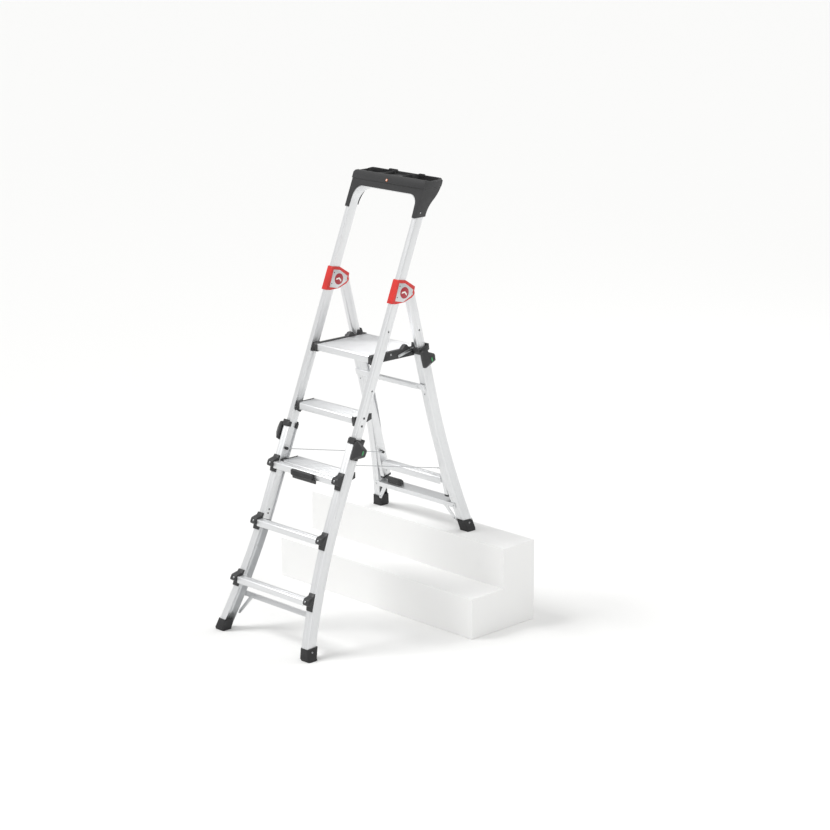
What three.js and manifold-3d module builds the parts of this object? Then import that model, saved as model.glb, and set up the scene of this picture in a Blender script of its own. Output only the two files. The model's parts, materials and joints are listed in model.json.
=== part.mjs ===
// Folding platform step ladder for stairs, millimetres, +Z up.
// X runs across the ladder, -Y is the climbing side, Z = 0 is the floor under the front boots.
// The front legs are pulled out and the rear legs pushed in, so the rear boots stand two stairs higher.
import * as THREE from 'three';
import { mergeVertices } from 'three/addons/utils/BufferGeometryUtils.js';
import Module from 'manifold-3d';

const wasm = await Module();
wasm.setup();

// ---------------------------------------------------------------- driving dimensions
const DEG = Math.PI / 180;
const GAP = 0.35; // clearance between touching pieces
const FRONT_TILT = 22 * DEG; // front rails from vertical
const REAR_TILT = 14.9 * DEG; // rear rails from vertical
const FRONT_LINE_Y = -487.6; // front face of the front rails, where it meets Z = 0
const REAR_LINE_Y = 531.3; // front face of the rear rails, where it meets Z = 0
const REAR_FLOOR = 350; // height of the stair that the rear boots stand on
const HINGE_HEIGHT = 1405; // main hinge pin above the floor

const RAIL_OUTER_X = 206; // outer face of every sliding rail
const RAIL_WIDTH = 21;
const RAIL_DEPTH = 44;
const RAIL_WALL = 2.2;
const RAIL_CORNER = 4;
const GROOVE_AT = 3; // start of the groove in a rail's outer face, from the front
const GROOVE_WIDTH = 6.5;
const GROOVE_DEPTH = 1.4;

const BOW_TOP = 1966; // outer face of the handrail bow, along the front rails
const BOW_RADIUS = 75.5; // centreline radius of the bow's two bends
const FRONT_RAIL_END = 503; // lower end of the front rails, along them
const REAR_RAIL_END = 520; // lower end of the rear rails, along them
const PLUG_LENGTH = 9; // visible part of a rail's end plug

const TREAD_PITCH = 231.5; // height from tread to tread
const FIRST_TREAD = 236; // top of the lowest tread
const TREAD_HEIGHT = 27;
const TREAD_WALL = 2.5;
const TREAD_GROOVE_PITCH = 9;
const INNER_TREAD_DEPTH = 98;
const INNER_TREAD_HALF = 172;
const OUTER_TREAD_DEPTH = 32;
const OUTER_TREAD_HALF = 180;
const OUTER_TREAD_FRONT = 36.2; // how far its front stands before the rails

const LEG_TIP_X = 177; // open edge of an outer leg's channel
const LEG_OUTER_X = 214;
const LEG_WALL = 3;
const LEG_FIT = 0.5; // play between leg and rail, front and back
const FRONT_LEG_TOP = 898; // along the front rails
const REAR_LEG_TOP = 822; // from the rear boots' floor, along the rear rails
const FLARE_START = 610; // above this height along a leg it is straight
const FLARE_RADIUS = 2618; // below it, the leg curves outwards
const FRONT_LEG_END = 41; // bottom of the aluminium in the boot, along the leg
const REAR_LEG_END = 20;

const COLLAR_HEIGHT = 22;
const COLLAR_PROUD = 3; // collar beyond the leg's outside
const HORN_TOP = 27; // front and rear lips above the leg's top
const HORN_LEAN = 3;
const LOCK_BELOW = 62; // foot of the lock's base below the leg's top
const LOCK_OUT = 255; // outermost face of a lock lever
const PIN_HOLE_RADIUS = 4;
const LOCK_PIN_BELOW = 22; // lock pin below the leg's top
const PIN_DEPTH_AT = 27; // lock holes behind the rail's front face

const BOOT_HEIGHT = 50;
const BOOT_WALL = 2.4;
const SOLE_WIDTH = 52;
const SOLE_DEPTH = 48;
const BRACE_HEIGHT = 22;

const DECK_TOP = 1167;
const DECK_THICK = 28;
const DECK_HALF = 154;
const DECK_FRONT = -12.3;
const DECK_REAR = 266.7;
const ARM_THICK = 18.5;
const ARM_RISE = 2; // arm above the deck
const PLATFORM_PIVOT_Z = 1155;
const REST_RADIUS = 6;

const TRAY_TOP = 1861;
const TRAY_FOOT = 1714;
const TRAY_HALF = 209.5;
const TRAY_WALL = 2.8;
const TRAY_FLOOR = 1830;
const TRAY_ARCH_Z = 1802;

const CORD_RADIUS = 1.6;

// ---------------------------------------------------------------- materials
const aluminium = new THREE.MeshStandardMaterial({ color: 0xd4d6d7, roughness: 0.42, metalness: 1 });
const blackPlastic = new THREE.MeshStandardMaterial({ color: 0x2b2b2c, roughness: 0.55, metalness: 0 });
const redPlastic = new THREE.MeshStandardMaterial({ color: 0xd8392f, roughness: 0.4, metalness: 0 });
const zincSteel = new THREE.MeshStandardMaterial({ color: 0xb9bbbd, roughness: 0.35, metalness: 1 });
const rubber = new THREE.MeshStandardMaterial({ color: 0x1e1e1f, roughness: 0.8, metalness: 0 });
const cordSheath = new THREE.MeshStandardMaterial({ color: 0xb5b6b8, roughness: 0.7, metalness: 0 });

// ---------------------------------------------------------------- scene and frames
const ladder = new THREE.Group();

// Inside this group Z runs up along the front rails and Y back through their depth.
const frontSlope = new THREE.Group();
frontSlope.position.set(0, FRONT_LINE_Y, 0);
frontSlope.rotation.x = -FRONT_TILT;
ladder.add(frontSlope);

// The same for the rear rails.
const rearSlope = new THREE.Group();
rearSlope.position.set(0, REAR_LINE_Y, 0);
rearSlope.rotation.x = REAR_TILT;
ladder.add(rearSlope);

const frontLineY = (z) => FRONT_LINE_Y + z * Math.tan(FRONT_TILT);
const rearLineY = (z) => REAR_LINE_Y - z * Math.tan(REAR_TILT);

// Distance along a sloping rail to the point at this height and depth.
const alongFront = (z, depth = 0) => (z + depth * Math.sin(FRONT_TILT)) / Math.cos(FRONT_TILT);
const alongRear = (z, depth = 0) => (z - depth * Math.sin(REAR_TILT)) / Math.cos(REAR_TILT);

const REAR_FOOT_S = alongRear(REAR_FLOOR);
const REAR_LEG_TOP_S = REAR_FOOT_S + REAR_LEG_TOP;

// Main hinge pin: on the centre line of the rear rails.
const HINGE_REAR_S = alongRear(HINGE_HEIGHT, RAIL_DEPTH / 2);
const HINGE_Y = REAR_LINE_Y + (RAIL_DEPTH / 2) * Math.cos(REAR_TILT) - HINGE_REAR_S * Math.sin(REAR_TILT);
const HINGE_FRONT_D = (HINGE_Y - FRONT_LINE_Y) * Math.cos(FRONT_TILT) - HINGE_HEIGHT * Math.sin(FRONT_TILT);
const HINGE_FRONT_S = (HINGE_Y - FRONT_LINE_Y) * Math.sin(FRONT_TILT) + HINGE_HEIGHT * Math.cos(FRONT_TILT);

// ---------------------------------------------------------------- shape helpers
function polygon(points) {
  return new THREE.Shape(points.map(([a, b]) => new THREE.Vector2(a, b)));
}

function roundedRect(a0, b0, a1, b1, radius) {
  const shape = new THREE.Shape();
  shape.moveTo(a0 + radius, b0);
  shape.lineTo(a1 - radius, b0);
  shape.absarc(a1 - radius, b0 + radius, radius, -Math.PI / 2, 0);
  shape.lineTo(a1, b1 - radius);
  shape.absarc(a1 - radius, b1 - radius, radius, 0, Math.PI / 2);
  shape.lineTo(a0 + radius, b1);
  shape.absarc(a0 + radius, b1 - radius, radius, Math.PI / 2, Math.PI);
  shape.lineTo(a0, b0 + radius);
  shape.absarc(a0 + radius, b0 + radius, radius, Math.PI, Math.PI * 1.5);
  return shape;
}

// A straight prism of an (x, y) shape between two heights.
function prismZ(shape, z0, z1, curveSegments = 3) {
  const geometry = new THREE.ExtrudeGeometry(shape, { depth: z1 - z0, bevelEnabled: false, curveSegments });
  return geometry.translate(0, 0, z0);
}

// A prism of a (y, z) shape between two values of x.
function prismX(shape, x0, x1, curveSegments = 3) {
  const turn = new THREE.Matrix4().set(0, 0, 1, x0, 1, 0, 0, 0, 0, 1, 0, 0, 0, 0, 0, 1);
  return prismZ(shape, 0, x1 - x0, curveSegments).applyMatrix4(turn);
}

// A prism of an (x, z) shape between two values of y.
function prismY(shape, y0, y1, curveSegments = 3) {
  const turn = new THREE.Matrix4().set(1, 0, 0, 0, 0, 0, -1, y1, 0, 1, 0, 0, 0, 0, 0, 1);
  return prismZ(shape, 0, y1 - y0, curveSegments).applyMatrix4(turn);
}

// A section carried through stations, each with an origin and the two directions of the section's axes.
function sweep(section, stations, curveSegments = 2) {
  const steps = stations.length - 1;
  const geometry = new THREE.ExtrudeGeometry(section, { depth: steps, steps, bevelEnabled: false, curveSegments });
  const position = geometry.attributes.position;
  for (let i = 0; i < position.count; i += 1) {
    const station = stations[Math.round(position.getZ(i))];
    const point = station.at.clone();
    point.addScaledVector(station.across, position.getX(i));
    point.addScaledVector(station.depth, position.getY(i));
    position.setXYZ(i, point.x, point.y, point.z);
  }
  return geometry;
}

function cylinderX(radius, x0, x1, y, z, segments = 20) {
  const geometry = new THREE.CylinderGeometry(radius, radius, x1 - x0, segments);
  geometry.rotateZ(-Math.PI / 2);
  return geometry.translate((x0 + x1) / 2, y, z);
}

function welded(geometry) {
  const bare = geometry.clone();
  bare.deleteAttribute('normal');
  bare.deleteAttribute('uv');
  return mergeVertices(bare, 1e-4);
}

function solid(geometry) {
  const bare = welded(geometry);
  const vertProperties = new Float32Array(bare.attributes.position.array);
  const triVerts = new Uint32Array(bare.index.array);
  return new wasm.Manifold(new wasm.Mesh({ numProp: 3, vertProperties, triVerts }));
}

function geometryOf(manifold) {
  const mesh = manifold.getMesh();
  const geometry = new THREE.BufferGeometry();
  geometry.setAttribute('position', new THREE.BufferAttribute(new Float32Array(mesh.vertProperties), 3));
  geometry.setIndex(new THREE.BufferAttribute(new Uint32Array(mesh.triVerts), 1));
  return geometry;
}

function join(...geometries) {
  return geometryOf(geometries.map(solid).reduce((a, b) => a.add(b)));
}

function cut(body, ...tools) {
  return geometryOf(tools.map(solid).reduce((a, b) => a.subtract(b), solid(body)));
}

function common(...geometries) {
  return geometryOf(geometries.map(solid).reduce((a, b) => a.intersect(b)));
}

// The left-hand copy of a right-hand piece.
function mirrored(geometry) {
  const copy = welded(geometry).clone();
  copy.scale(-1, 1, 1);
  const index = copy.index.array;
  for (let i = 0; i < index.length; i += 3) {
    const second = index[i + 1];
    index[i + 1] = index[i + 2];
    index[i + 2] = second;
  }
  return copy;
}

function add(parent, name, geometry, material) {
  const mesh = new THREE.Mesh(welded(geometry), material);
  mesh.name = name;
  parent.add(mesh);
}

// A right-hand piece and its mirror image on the left.
function addPair(parent, name, geometry, material) {
  add(parent, `${name}_R`, geometry, material);
  add(parent, `${name}_L`, mirrored(geometry), material);
}

// ---------------------------------------------------------------- sliding rails
const RAIL_INNER_X = RAIL_OUTER_X - RAIL_WIDTH;
const RAIL_MID_X = RAIL_OUTER_X - RAIL_WIDTH / 2;

// Box section, outer face towards +a, front face at b = 0, with a groove near the front of the outer face.
function railSection() {
  const half = RAIL_WIDTH / 2;
  const r = RAIL_CORNER;
  const shape = new THREE.Shape();
  shape.moveTo(-half + r, 0);
  shape.lineTo(half - r / 2, 0);
  shape.lineTo(half, r / 2);
  shape.lineTo(half, GROOVE_AT);
  shape.lineTo(half - GROOVE_DEPTH, GROOVE_AT + GROOVE_DEPTH / 2);
  shape.lineTo(half - GROOVE_DEPTH, GROOVE_AT + GROOVE_WIDTH - GROOVE_DEPTH / 2);
  shape.lineTo(half, GROOVE_AT + GROOVE_WIDTH);
  shape.lineTo(half, RAIL_DEPTH - r);
  shape.absarc(half - r, RAIL_DEPTH - r, r, 0, Math.PI / 2);
  shape.lineTo(-half + r, RAIL_DEPTH);
  shape.absarc(-half + r, RAIL_DEPTH - r, r, Math.PI / 2, Math.PI);
  shape.lineTo(-half, r);
  shape.absarc(-half + r, r, r, Math.PI, Math.PI * 1.5);
  const inside = half - RAIL_WALL;
  const clear = GROOVE_DEPTH + RAIL_WALL;
  shape.holes.push(
    polygon([
      [-inside, RAIL_WALL],
      [-inside, RAIL_DEPTH - RAIL_WALL],
      [inside, RAIL_DEPTH - RAIL_WALL],
      [inside, GROOVE_AT + GROOVE_WIDTH + RAIL_WALL],
      [half - clear, GROOVE_AT + GROOVE_WIDTH],
      [half - clear, RAIL_WALL],
    ]),
  );
  return shape;
}

const railStation = (x, s, turn = 0) => ({
  at: new THREE.Vector3(x, 0, s),
  across: new THREE.Vector3(Math.cos(turn), 0, Math.sin(turn)),
  depth: new THREE.Vector3(0, 1, 0),
});

// Both front rails and the handrail are one bent extrusion, an upside-down U.
function frontBow() {
  const bendX = RAIL_MID_X - BOW_RADIUS;
  const bendS = BOW_TOP - RAIL_WIDTH / 2 - BOW_RADIUS;
  const bendSteps = 7;
  const stations = [railStation(RAIL_MID_X, FRONT_RAIL_END)];
  for (const side of [1, -1]) {
    for (let i = 0; i <= bendSteps; i += 1) {
      const share = side > 0 ? i / bendSteps : 1 - i / bendSteps;
      const turn = side > 0 ? (share * Math.PI) / 2 : Math.PI - (share * Math.PI) / 2;
      const x = side * bendX + BOW_RADIUS * Math.cos(turn);
      stations.push(railStation(x, bendS + BOW_RADIUS * Math.sin(turn), turn));
    }
  }
  stations.push(railStation(-RAIL_MID_X, FRONT_RAIL_END, Math.PI));
  const holes = [];
  for (const side of [1, -1]) {
    for (const step of [1, 2]) {
      const s = FRONT_LEG_TOP - LOCK_PIN_BELOW + (step * TREAD_PITCH) / Math.cos(FRONT_TILT);
      const x0 = side > 0 ? RAIL_MID_X : -RAIL_OUTER_X - 1;
      holes.push(cylinderX(PIN_HOLE_RADIUS, x0, x0 + RAIL_WIDTH / 2 + 1, PIN_DEPTH_AT, s, 12));
    }
    const x0 = side > 0 ? RAIL_INNER_X - 1 : -RAIL_MID_X;
    const pivotS = alongFront(PLATFORM_PIVOT_Z, RAIL_DEPTH / 2);
    holes.push(cylinderX(PLATFORM_PIN_RADIUS + GAP, x0, x0 + RAIL_WIDTH / 2 + 1, RAIL_DEPTH / 2, pivotS, 16));
  }
  return cut(sweep(railSection(), stations), ...holes);
}

const PLATFORM_PIN_RADIUS = 4.5;
add(frontSlope, 'front_bow', frontBow(), aluminium);

// A rear rail ends in a round solid head on the hinge pin and carries a stud that the platform rests on.
const HINGE_PIN_RADIUS = 5;
const REST_Z = DECK_TOP - DECK_THICK - 5 - GAP - REST_RADIUS;
function rearRail() {
  const stations = [railStation(RAIL_MID_X, REAR_RAIL_END), railStation(RAIL_MID_X, HINGE_REAR_S)];
  const tube = sweep(railSection(), stations);
  const headRadius = RAIL_DEPTH / 2;
  const head = cylinderX(headRadius, RAIL_INNER_X, RAIL_OUTER_X, headRadius, HINGE_REAR_S, 28);
  const restS = alongRear(REST_Z, RAIL_DEPTH / 2);
  const stud = cylinderX(REST_RADIUS, DECK_HALF + 3, RAIL_INNER_X + 1, RAIL_DEPTH / 2, restS, 16);
  const lockHoleS = REAR_LEG_TOP_S - LOCK_PIN_BELOW + TREAD_PITCH / Math.cos(REAR_TILT) / 2;
  const lockHole = cylinderX(PIN_HOLE_RADIUS, RAIL_MID_X, RAIL_OUTER_X + 1, PIN_DEPTH_AT, lockHoleS, 12);
  const pinHole = cylinderX(HINGE_PIN_RADIUS + GAP, RAIL_INNER_X - 1, RAIL_OUTER_X + 1, headRadius, HINGE_REAR_S, 20);
  return cut(join(tube, head, stud), lockHole, pinHole);
}
addPair(rearSlope, 'rear_rail', rearRail(), aluminium);

// Black plug under the open lower end of a rail.
function railPlug(end) {
  const half = RAIL_WIDTH / 2 + 0.6;
  const section = roundedRect(RAIL_MID_X - half, -LEG_FIT + 0.1, RAIL_MID_X + half, RAIL_DEPTH + LEG_FIT - 0.1, 3);
  return prismZ(section, end - GAP - PLUG_LENGTH, end - GAP);
}
addPair(frontSlope, 'front_rail_plug', railPlug(FRONT_RAIL_END), blackPlastic);
addPair(rearSlope, 'rear_rail_plug', railPlug(REAR_RAIL_END), blackPlastic);

// ---------------------------------------------------------------- telescopic outer legs
// How far a leg has moved outwards at this height above its boot.
function flare(height) {
  const below = Math.max(0, FLARE_START - height);
  return (below * below) / (2 * FLARE_RADIUS);
}

// Channel open towards the ladder's middle, with fine grooves along the outside.
function legSection() {
  const front = -LEG_FIT - LEG_WALL;
  const rear = RAIL_DEPTH + LEG_FIT + LEG_WALL;
  const corner = 7;
  const shape = new THREE.Shape();
  shape.moveTo(LEG_TIP_X + 1, front);
  shape.lineTo(LEG_OUTER_X - 20, front);
  shape.lineTo(LEG_OUTER_X - 19, front + 1.2);
  shape.lineTo(LEG_OUTER_X - 17.5, front + 1.2);
  shape.lineTo(LEG_OUTER_X - 16.5, front);
  shape.lineTo(LEG_OUTER_X - corner, front);
  shape.absarc(LEG_OUTER_X - corner, front + corner, corner, -Math.PI / 2, 0);
  for (const at of [RAIL_DEPTH * 0.22, RAIL_DEPTH * 0.78]) {
    shape.lineTo(LEG_OUTER_X, at - 1.6);
    shape.lineTo(LEG_OUTER_X - 1.2, at - 0.8);
    shape.lineTo(LEG_OUTER_X - 1.2, at + 0.8);
    shape.lineTo(LEG_OUTER_X, at + 1.6);
  }
  shape.lineTo(LEG_OUTER_X, rear - corner);
  shape.absarc(LEG_OUTER_X - corner, rear - corner, corner, 0, Math.PI / 2);
  shape.lineTo(LEG_TIP_X + 1, rear);
  shape.lineTo(LEG_TIP_X, rear - 1);
  shape.lineTo(LEG_TIP_X, rear - LEG_WALL);
  shape.lineTo(LEG_OUTER_X - corner, rear - LEG_WALL);
  shape.lineTo(LEG_OUTER_X - LEG_WALL, rear - corner);
  shape.lineTo(LEG_OUTER_X - LEG_WALL, front + corner);
  shape.lineTo(LEG_OUTER_X - corner, front + LEG_WALL);
  shape.lineTo(LEG_TIP_X, front + LEG_WALL);
  shape.lineTo(LEG_TIP_X, front + 1);
  return shape;
}

// Stations up a leg from one height above its boot's floor to another; base is where that floor is.
function legStations(base, from, to, bends = 9) {
  const stations = [];
  const bentTo = Math.min(to, FLARE_START);
  for (let i = 0; i <= bends; i += 1) {
    const height = from + ((bentTo - from) * i) / bends;
    stations.push(railStation(flare(height), base + height));
  }
  if (to > FLARE_START) {
    stations.push(railStation(0, base + to));
  }
  return stations;
}

addPair(frontSlope, 'front_leg', sweep(legSection(), legStations(0, FRONT_LEG_END, FRONT_LEG_TOP)), aluminium);
addPair(rearSlope, 'rear_leg', sweep(legSection(), legStations(REAR_FOOT_S, REAR_LEG_END, REAR_LEG_TOP)), aluminium);

// Black collar on a leg's top end that guides the rail, in one piece with the base of its lock.
const COLLAR_OUTER_X = LEG_OUTER_X + COLLAR_PROUD;
const LOCK_BASE_X = COLLAR_OUTER_X + 2;
function collar(top) {
  const front = -LEG_FIT - LEG_WALL - COLLAR_PROUD;
  const rear = RAIL_DEPTH + LEG_FIT + LEG_WALL + COLLAR_PROUD;
  const cap = prismZ(roundedRect(LEG_TIP_X - 0.5, front, COLLAR_OUTER_X, rear, 5), top + GAP, top + COLLAR_HEIGHT);
  const base = prismZ(
    roundedRect(LEG_OUTER_X + GAP, 1, LOCK_BASE_X, RAIL_DEPTH - 3, 1.5),
    top - LOCK_BELOW,
    top + COLLAR_HEIGHT - 6,
  );
  const frontHorn = prismZ(roundedRect(LEG_TIP_X + 6, front, COLLAR_OUTER_X, -LEG_FIT, 1.2), top + 1, top + HORN_TOP);
  const rearHorn = prismX(
    polygon([
      [RAIL_DEPTH + LEG_FIT, top + 2],
      [rear, top + 2],
      [rear + HORN_LEAN, top + HORN_TOP],
      [RAIL_DEPTH + LEG_FIT + HORN_LEAN, top + HORN_TOP + 2],
      [RAIL_DEPTH + LEG_FIT, top + COLLAR_HEIGHT],
    ]),
    LEG_TIP_X + 8,
    COLLAR_OUTER_X,
  );
  const slot = prismZ(
    roundedRect(RAIL_INNER_X - GAP, -0.4, RAIL_OUTER_X + GAP, RAIL_DEPTH + 0.4, 3.5),
    top - 1,
    top + COLLAR_HEIGHT + 1,
  );
  const mouth = prismZ(
    polygon([
      [LEG_TIP_X - 2, 7],
      [RAIL_MID_X, 7],
      [RAIL_MID_X, RAIL_DEPTH - 7],
      [LEG_TIP_X - 2, RAIL_DEPTH - 7],
    ]),
    top - 1,
    top + COLLAR_HEIGHT + 1,
  );
  return cut(join(cap, base, frontHorn, rearHorn), slot, mouth);
}
addPair(frontSlope, 'front_collar', collar(FRONT_LEG_TOP), blackPlastic);
addPair(rearSlope, 'rear_collar', collar(REAR_LEG_TOP_S), blackPlastic);

// Lock lever: a five-sided paddle on the outside of the leg, thickest half-way down.
function lockLever(top) {
  const inner = LOCK_BASE_X + GAP;
  const side = prismX(
    polygon([
      [-6, top - 58],
      [8, top - 63],
      [39, top - 40],
      [42, top - 8],
      [6, top + 17],
      [-6, top + 13],
    ]),
    inner,
    LOCK_OUT,
  );
  const face = prismY(
    polygon([
      [inner, top - 64],
      [inner + 6, top - 64],
      [LOCK_OUT, top - 36],
      [LOCK_OUT, top - 14],
      [LOCK_OUT - 9, top + 4],
      [inner + 9, top + 18],
      [inner + 6, top + 18],
      [inner, top + 9],
    ]),
    -10,
    RAIL_DEPTH,
  );
  const plan = prismZ(
    polygon([
      [inner - 1, -7],
      [inner + 10, -7],
      [LOCK_OUT + 1, 9],
      [LOCK_OUT + 1, RAIL_DEPTH],
      [inner - 1, RAIL_DEPTH],
    ]),
    top - 70,
    top + 25,
  );
  return common(side, face, plan);
}
addPair(frontSlope, 'front_lock', lockLever(FRONT_LEG_TOP), blackPlastic);
addPair(rearSlope, 'rear_lock', lockLever(REAR_LEG_TOP_S), blackPlastic);

// ---------------------------------------------------------------- boots
// A boot tapers from the leg down to a flat sole, with a pocket that the leg stands in.
function boot(floor, lineY, soleFront, tilt, pocketInSlope) {
  const centreX = (LEG_TIP_X + LEG_OUTER_X) / 2;
  const topHalf = (LEG_OUTER_X - LEG_TIP_X) / 2 + BOOT_WALL;
  const depthHalf = (RAIL_DEPTH / 2 + LEG_WALL + LEG_FIT + BOOT_WALL) / Math.cos(tilt);
  const stations = [];
  for (const share of [0, 0.18, 1]) {
    const height = share * BOOT_HEIGHT;
    const spread = flare(height / Math.cos(tilt));
    const legMidY = lineY(floor + height) + RAIL_DEPTH / 2 / Math.cos(tilt);
    const soleMidY = soleFront + SOLE_DEPTH / 2;
    const width = SOLE_WIDTH / 2 + (topHalf - SOLE_WIDTH / 2) * share;
    const depth = SOLE_DEPTH / 2 + (depthHalf - SOLE_DEPTH / 2) * Math.sqrt(share);
    stations.push({
      at: new THREE.Vector3(centreX + spread, soleMidY + (legMidY - soleMidY) * Math.sqrt(share), floor + height),
      across: new THREE.Vector3(width, 0, 0),
      depth: new THREE.Vector3(0, depth, 0),
    });
  }
  const body = sweep(roundedRect(-1, -1, 1, 1, 0.26), stations, 3);
  return cut(body, pocketInSlope);
}

// The leg's outline with clearance, in the slope's own frame, moved to where the slope stands.
function legPocket(base, legEnd, slope) {
  const front = -LEG_FIT - LEG_WALL - GAP;
  const rear = RAIL_DEPTH + LEG_FIT + LEG_WALL + GAP;
  const section = roundedRect(LEG_TIP_X - GAP, front, LEG_OUTER_X + GAP, rear, 1.5);
  slope.updateMatrixWorld(true);
  return sweep(section, legStations(base, legEnd - GAP, 2 * BOOT_HEIGHT, 4)).applyMatrix4(slope.matrixWorld);
}

const FRONT_SOLE_Y = -478.9;
const REAR_SOLE_Y = 433.1;
const frontPocket = legPocket(0, FRONT_LEG_END, frontSlope);
const rearPocket = legPocket(REAR_FOOT_S, REAR_LEG_END, rearSlope);
addPair(ladder, 'front_boot', boot(0, frontLineY, FRONT_SOLE_Y, FRONT_TILT, frontPocket), rubber);
addPair(ladder, 'rear_boot', boot(REAR_FLOOR, rearLineY, REAR_SOLE_Y, REAR_TILT, rearPocket), rubber);

// ---------------------------------------------------------------- treads
// Section of a grooved tread, open below: front and rear walls may lean, set by how far their feet move.
function treadSection(y0, y1, top, height, wall, frontLean, rearLean) {
  const shape = new THREE.Shape();
  const bottom = top - height;
  shape.moveTo(y0 + frontLean, bottom);
  shape.lineTo(y0 + frontLean + wall, bottom);
  shape.lineTo(y0 + wall, top - wall - 2);
  shape.lineTo(y1 - wall, top - wall - 2);
  shape.lineTo(y1 + rearLean - wall, bottom);
  shape.lineTo(y1 + rearLean, bottom);
  shape.lineTo(y1, top);
  const grooves = Math.floor((y1 - y0 - TREAD_GROOVE_PITCH) / TREAD_GROOVE_PITCH);
  const start = (y0 + y1) / 2 + ((grooves - 1) * TREAD_GROOVE_PITCH) / 2;
  for (let i = 0; i < grooves; i += 1) {
    const at = start - i * TREAD_GROOVE_PITCH;
    shape.lineTo(at + 1.6, top);
    shape.lineTo(at + 1, top - 1.3);
    shape.lineTo(at - 1, top - 1.3);
    shape.lineTo(at - 1.6, top);
  }
  shape.lineTo(y0 + 3, top);
  shape.lineTo(y0, top - 3);
  return shape;
}

const treadTop = (number) => FIRST_TREAD + number * TREAD_PITCH;

// Deep treads fixed between the front rails; each end sits in a black bracket.
const BRACKET_LIP = 14; // bracket in front of the tread's end
const BRACKET_OUTER_X = LEG_TIP_X - 1;
function innerTread(top) {
  const y0 = frontLineY(top);
  const section = treadSection(y0, y0 + INNER_TREAD_DEPTH, top, TREAD_HEIGHT, TREAD_WALL, 0, 0);
  const body = prismX(section, -INNER_TREAD_HALF, INNER_TREAD_HALF);
  const notch = polygon([
    [y0 - 1, top + 1],
    [y0 - 1, top - TREAD_HEIGHT - 1],
    [y0 + 6 + GAP, top - TREAD_HEIGHT - 1],
    [y0 + 6 + GAP, top + 1],
  ]);
  const from = INNER_TREAD_HALF - BRACKET_LIP - GAP;
  const to = INNER_TREAD_HALF + 1;
  return cut(body, prismX(notch, from, to), prismX(notch, -to, -from));
}

function innerBracket(top) {
  const y0 = frontLineY(top);
  const foot = top - TREAD_HEIGHT - 12;
  const plate = prismX(
    polygon([
      [y0 + 0.6, top - 8],
      [y0 + 5, foot],
      [y0 + 40, foot],
      [y0 + INNER_TREAD_DEPTH - 2, top - TREAD_HEIGHT + 4],
      [y0 + INNER_TREAD_DEPTH - 2, top + 1.5],
      [y0 + 4, top + 1.5],
      [y0 + 0.6, top - 2],
    ]),
    INNER_TREAD_HALF + GAP,
    BRACKET_OUTER_X,
  );
  const lip = prismX(
    polygon([
      [y0 + 0.6, top - 8],
      [y0 + 5, foot],
      [y0 + 8, foot],
      [y0 + 8, top - TREAD_HEIGHT - GAP],
      [y0 + 6, top - TREAD_HEIGHT - GAP],
      [y0 + 6, top + 1],
      [y0 + 2.5, top + 1],
      [y0 + 0.6, top - 2],
    ]),
    INNER_TREAD_HALF - BRACKET_LIP,
    INNER_TREAD_HALF + 2,
  );
  const bossTop = top - 5;
  const lean = Math.tan(FRONT_TILT);
  const boss = prismX(
    polygon([
      [y0 - 5 * lean + 13, bossTop],
      [y0 - 33 * lean + 13, bossTop - 28],
      [y0 - 33 * lean + 36, bossTop - 28],
      [y0 - 5 * lean + 36, bossTop],
    ]),
    BRACKET_OUTER_X - 2,
    RAIL_INNER_X - GAP,
  );
  return join(plate, lip, boss);
}

add(ladder, 'upper_tread', innerTread(treadTop(3)), aluminium);
add(ladder, 'middle_tread', innerTread(treadTop(2)), aluminium);
addPair(ladder, 'upper_tread_bracket', innerBracket(treadTop(3)), blackPlastic);
addPair(ladder, 'middle_tread_bracket', innerBracket(treadTop(2)), blackPlastic);

// Narrow steps carried in front of the sliding legs, each between two nosed brackets.
function outerStep(top) {
  const lean = -Math.tan(FRONT_TILT) * TREAD_HEIGHT;
  const y0 = frontLineY(top) - OUTER_TREAD_FRONT;
  const half = OUTER_TREAD_HALF + flare(alongFront(top));
  return prismX(treadSection(y0, y0 + OUTER_TREAD_DEPTH, top, TREAD_HEIGHT, TREAD_WALL, 0, lean), -half, half);
}

function stepBracket(top) {
  const s = alongFront(top);
  const base = -LEG_FIT - LEG_WALL - GAP;
  const profile = polygon([
    [base, s + 20],
    [base - 5, s + 20],
    [base - 8, s + 8],
    [-33, s - 7],
    [-36, s - 12],
    [-36, s - 28],
    [-32, s - 33],
    [base - 8, s - 36],
    [base - 5, s - 53],
    [base, s - 53],
  ]);
  const geometry = prismX(profile, OUTER_TREAD_HALF + GAP, LEG_OUTER_X - 1);
  const position = geometry.attributes.position;
  for (let i = 0; i < position.count; i += 1) {
    position.setX(i, position.getX(i) + flare(position.getZ(i)));
  }
  return geometry;
}

for (const number of [0, 1, 2]) {
  add(ladder, `step_${number + 1}`, outerStep(treadTop(number)), aluminium);
  addPair(frontSlope, `step_${number + 1}_bracket`, stepBracket(treadTop(number)), blackPlastic);
}

// ---------------------------------------------------------------- cross members near the floor
// Strut plate from a brace down to the leg, between two depths.
function strut(legX, s, drop, y0, y1) {
  const shape = polygon([
    [legX - 46, s + 4],
    [legX - 30, s + 4],
    [legX + 12, s - drop + 8],
    [legX + 12, s - drop - 6],
    [legX + 2, s - drop - 6],
    [legX - 46, s - 6],
  ]);
  return prismY(shape, y0, y1);
}

const LAP = LEG_FIT + LEG_WALL + GAP; // from a rail's face to a plate lying on the leg outside it
const PLATE = 3;

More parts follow.
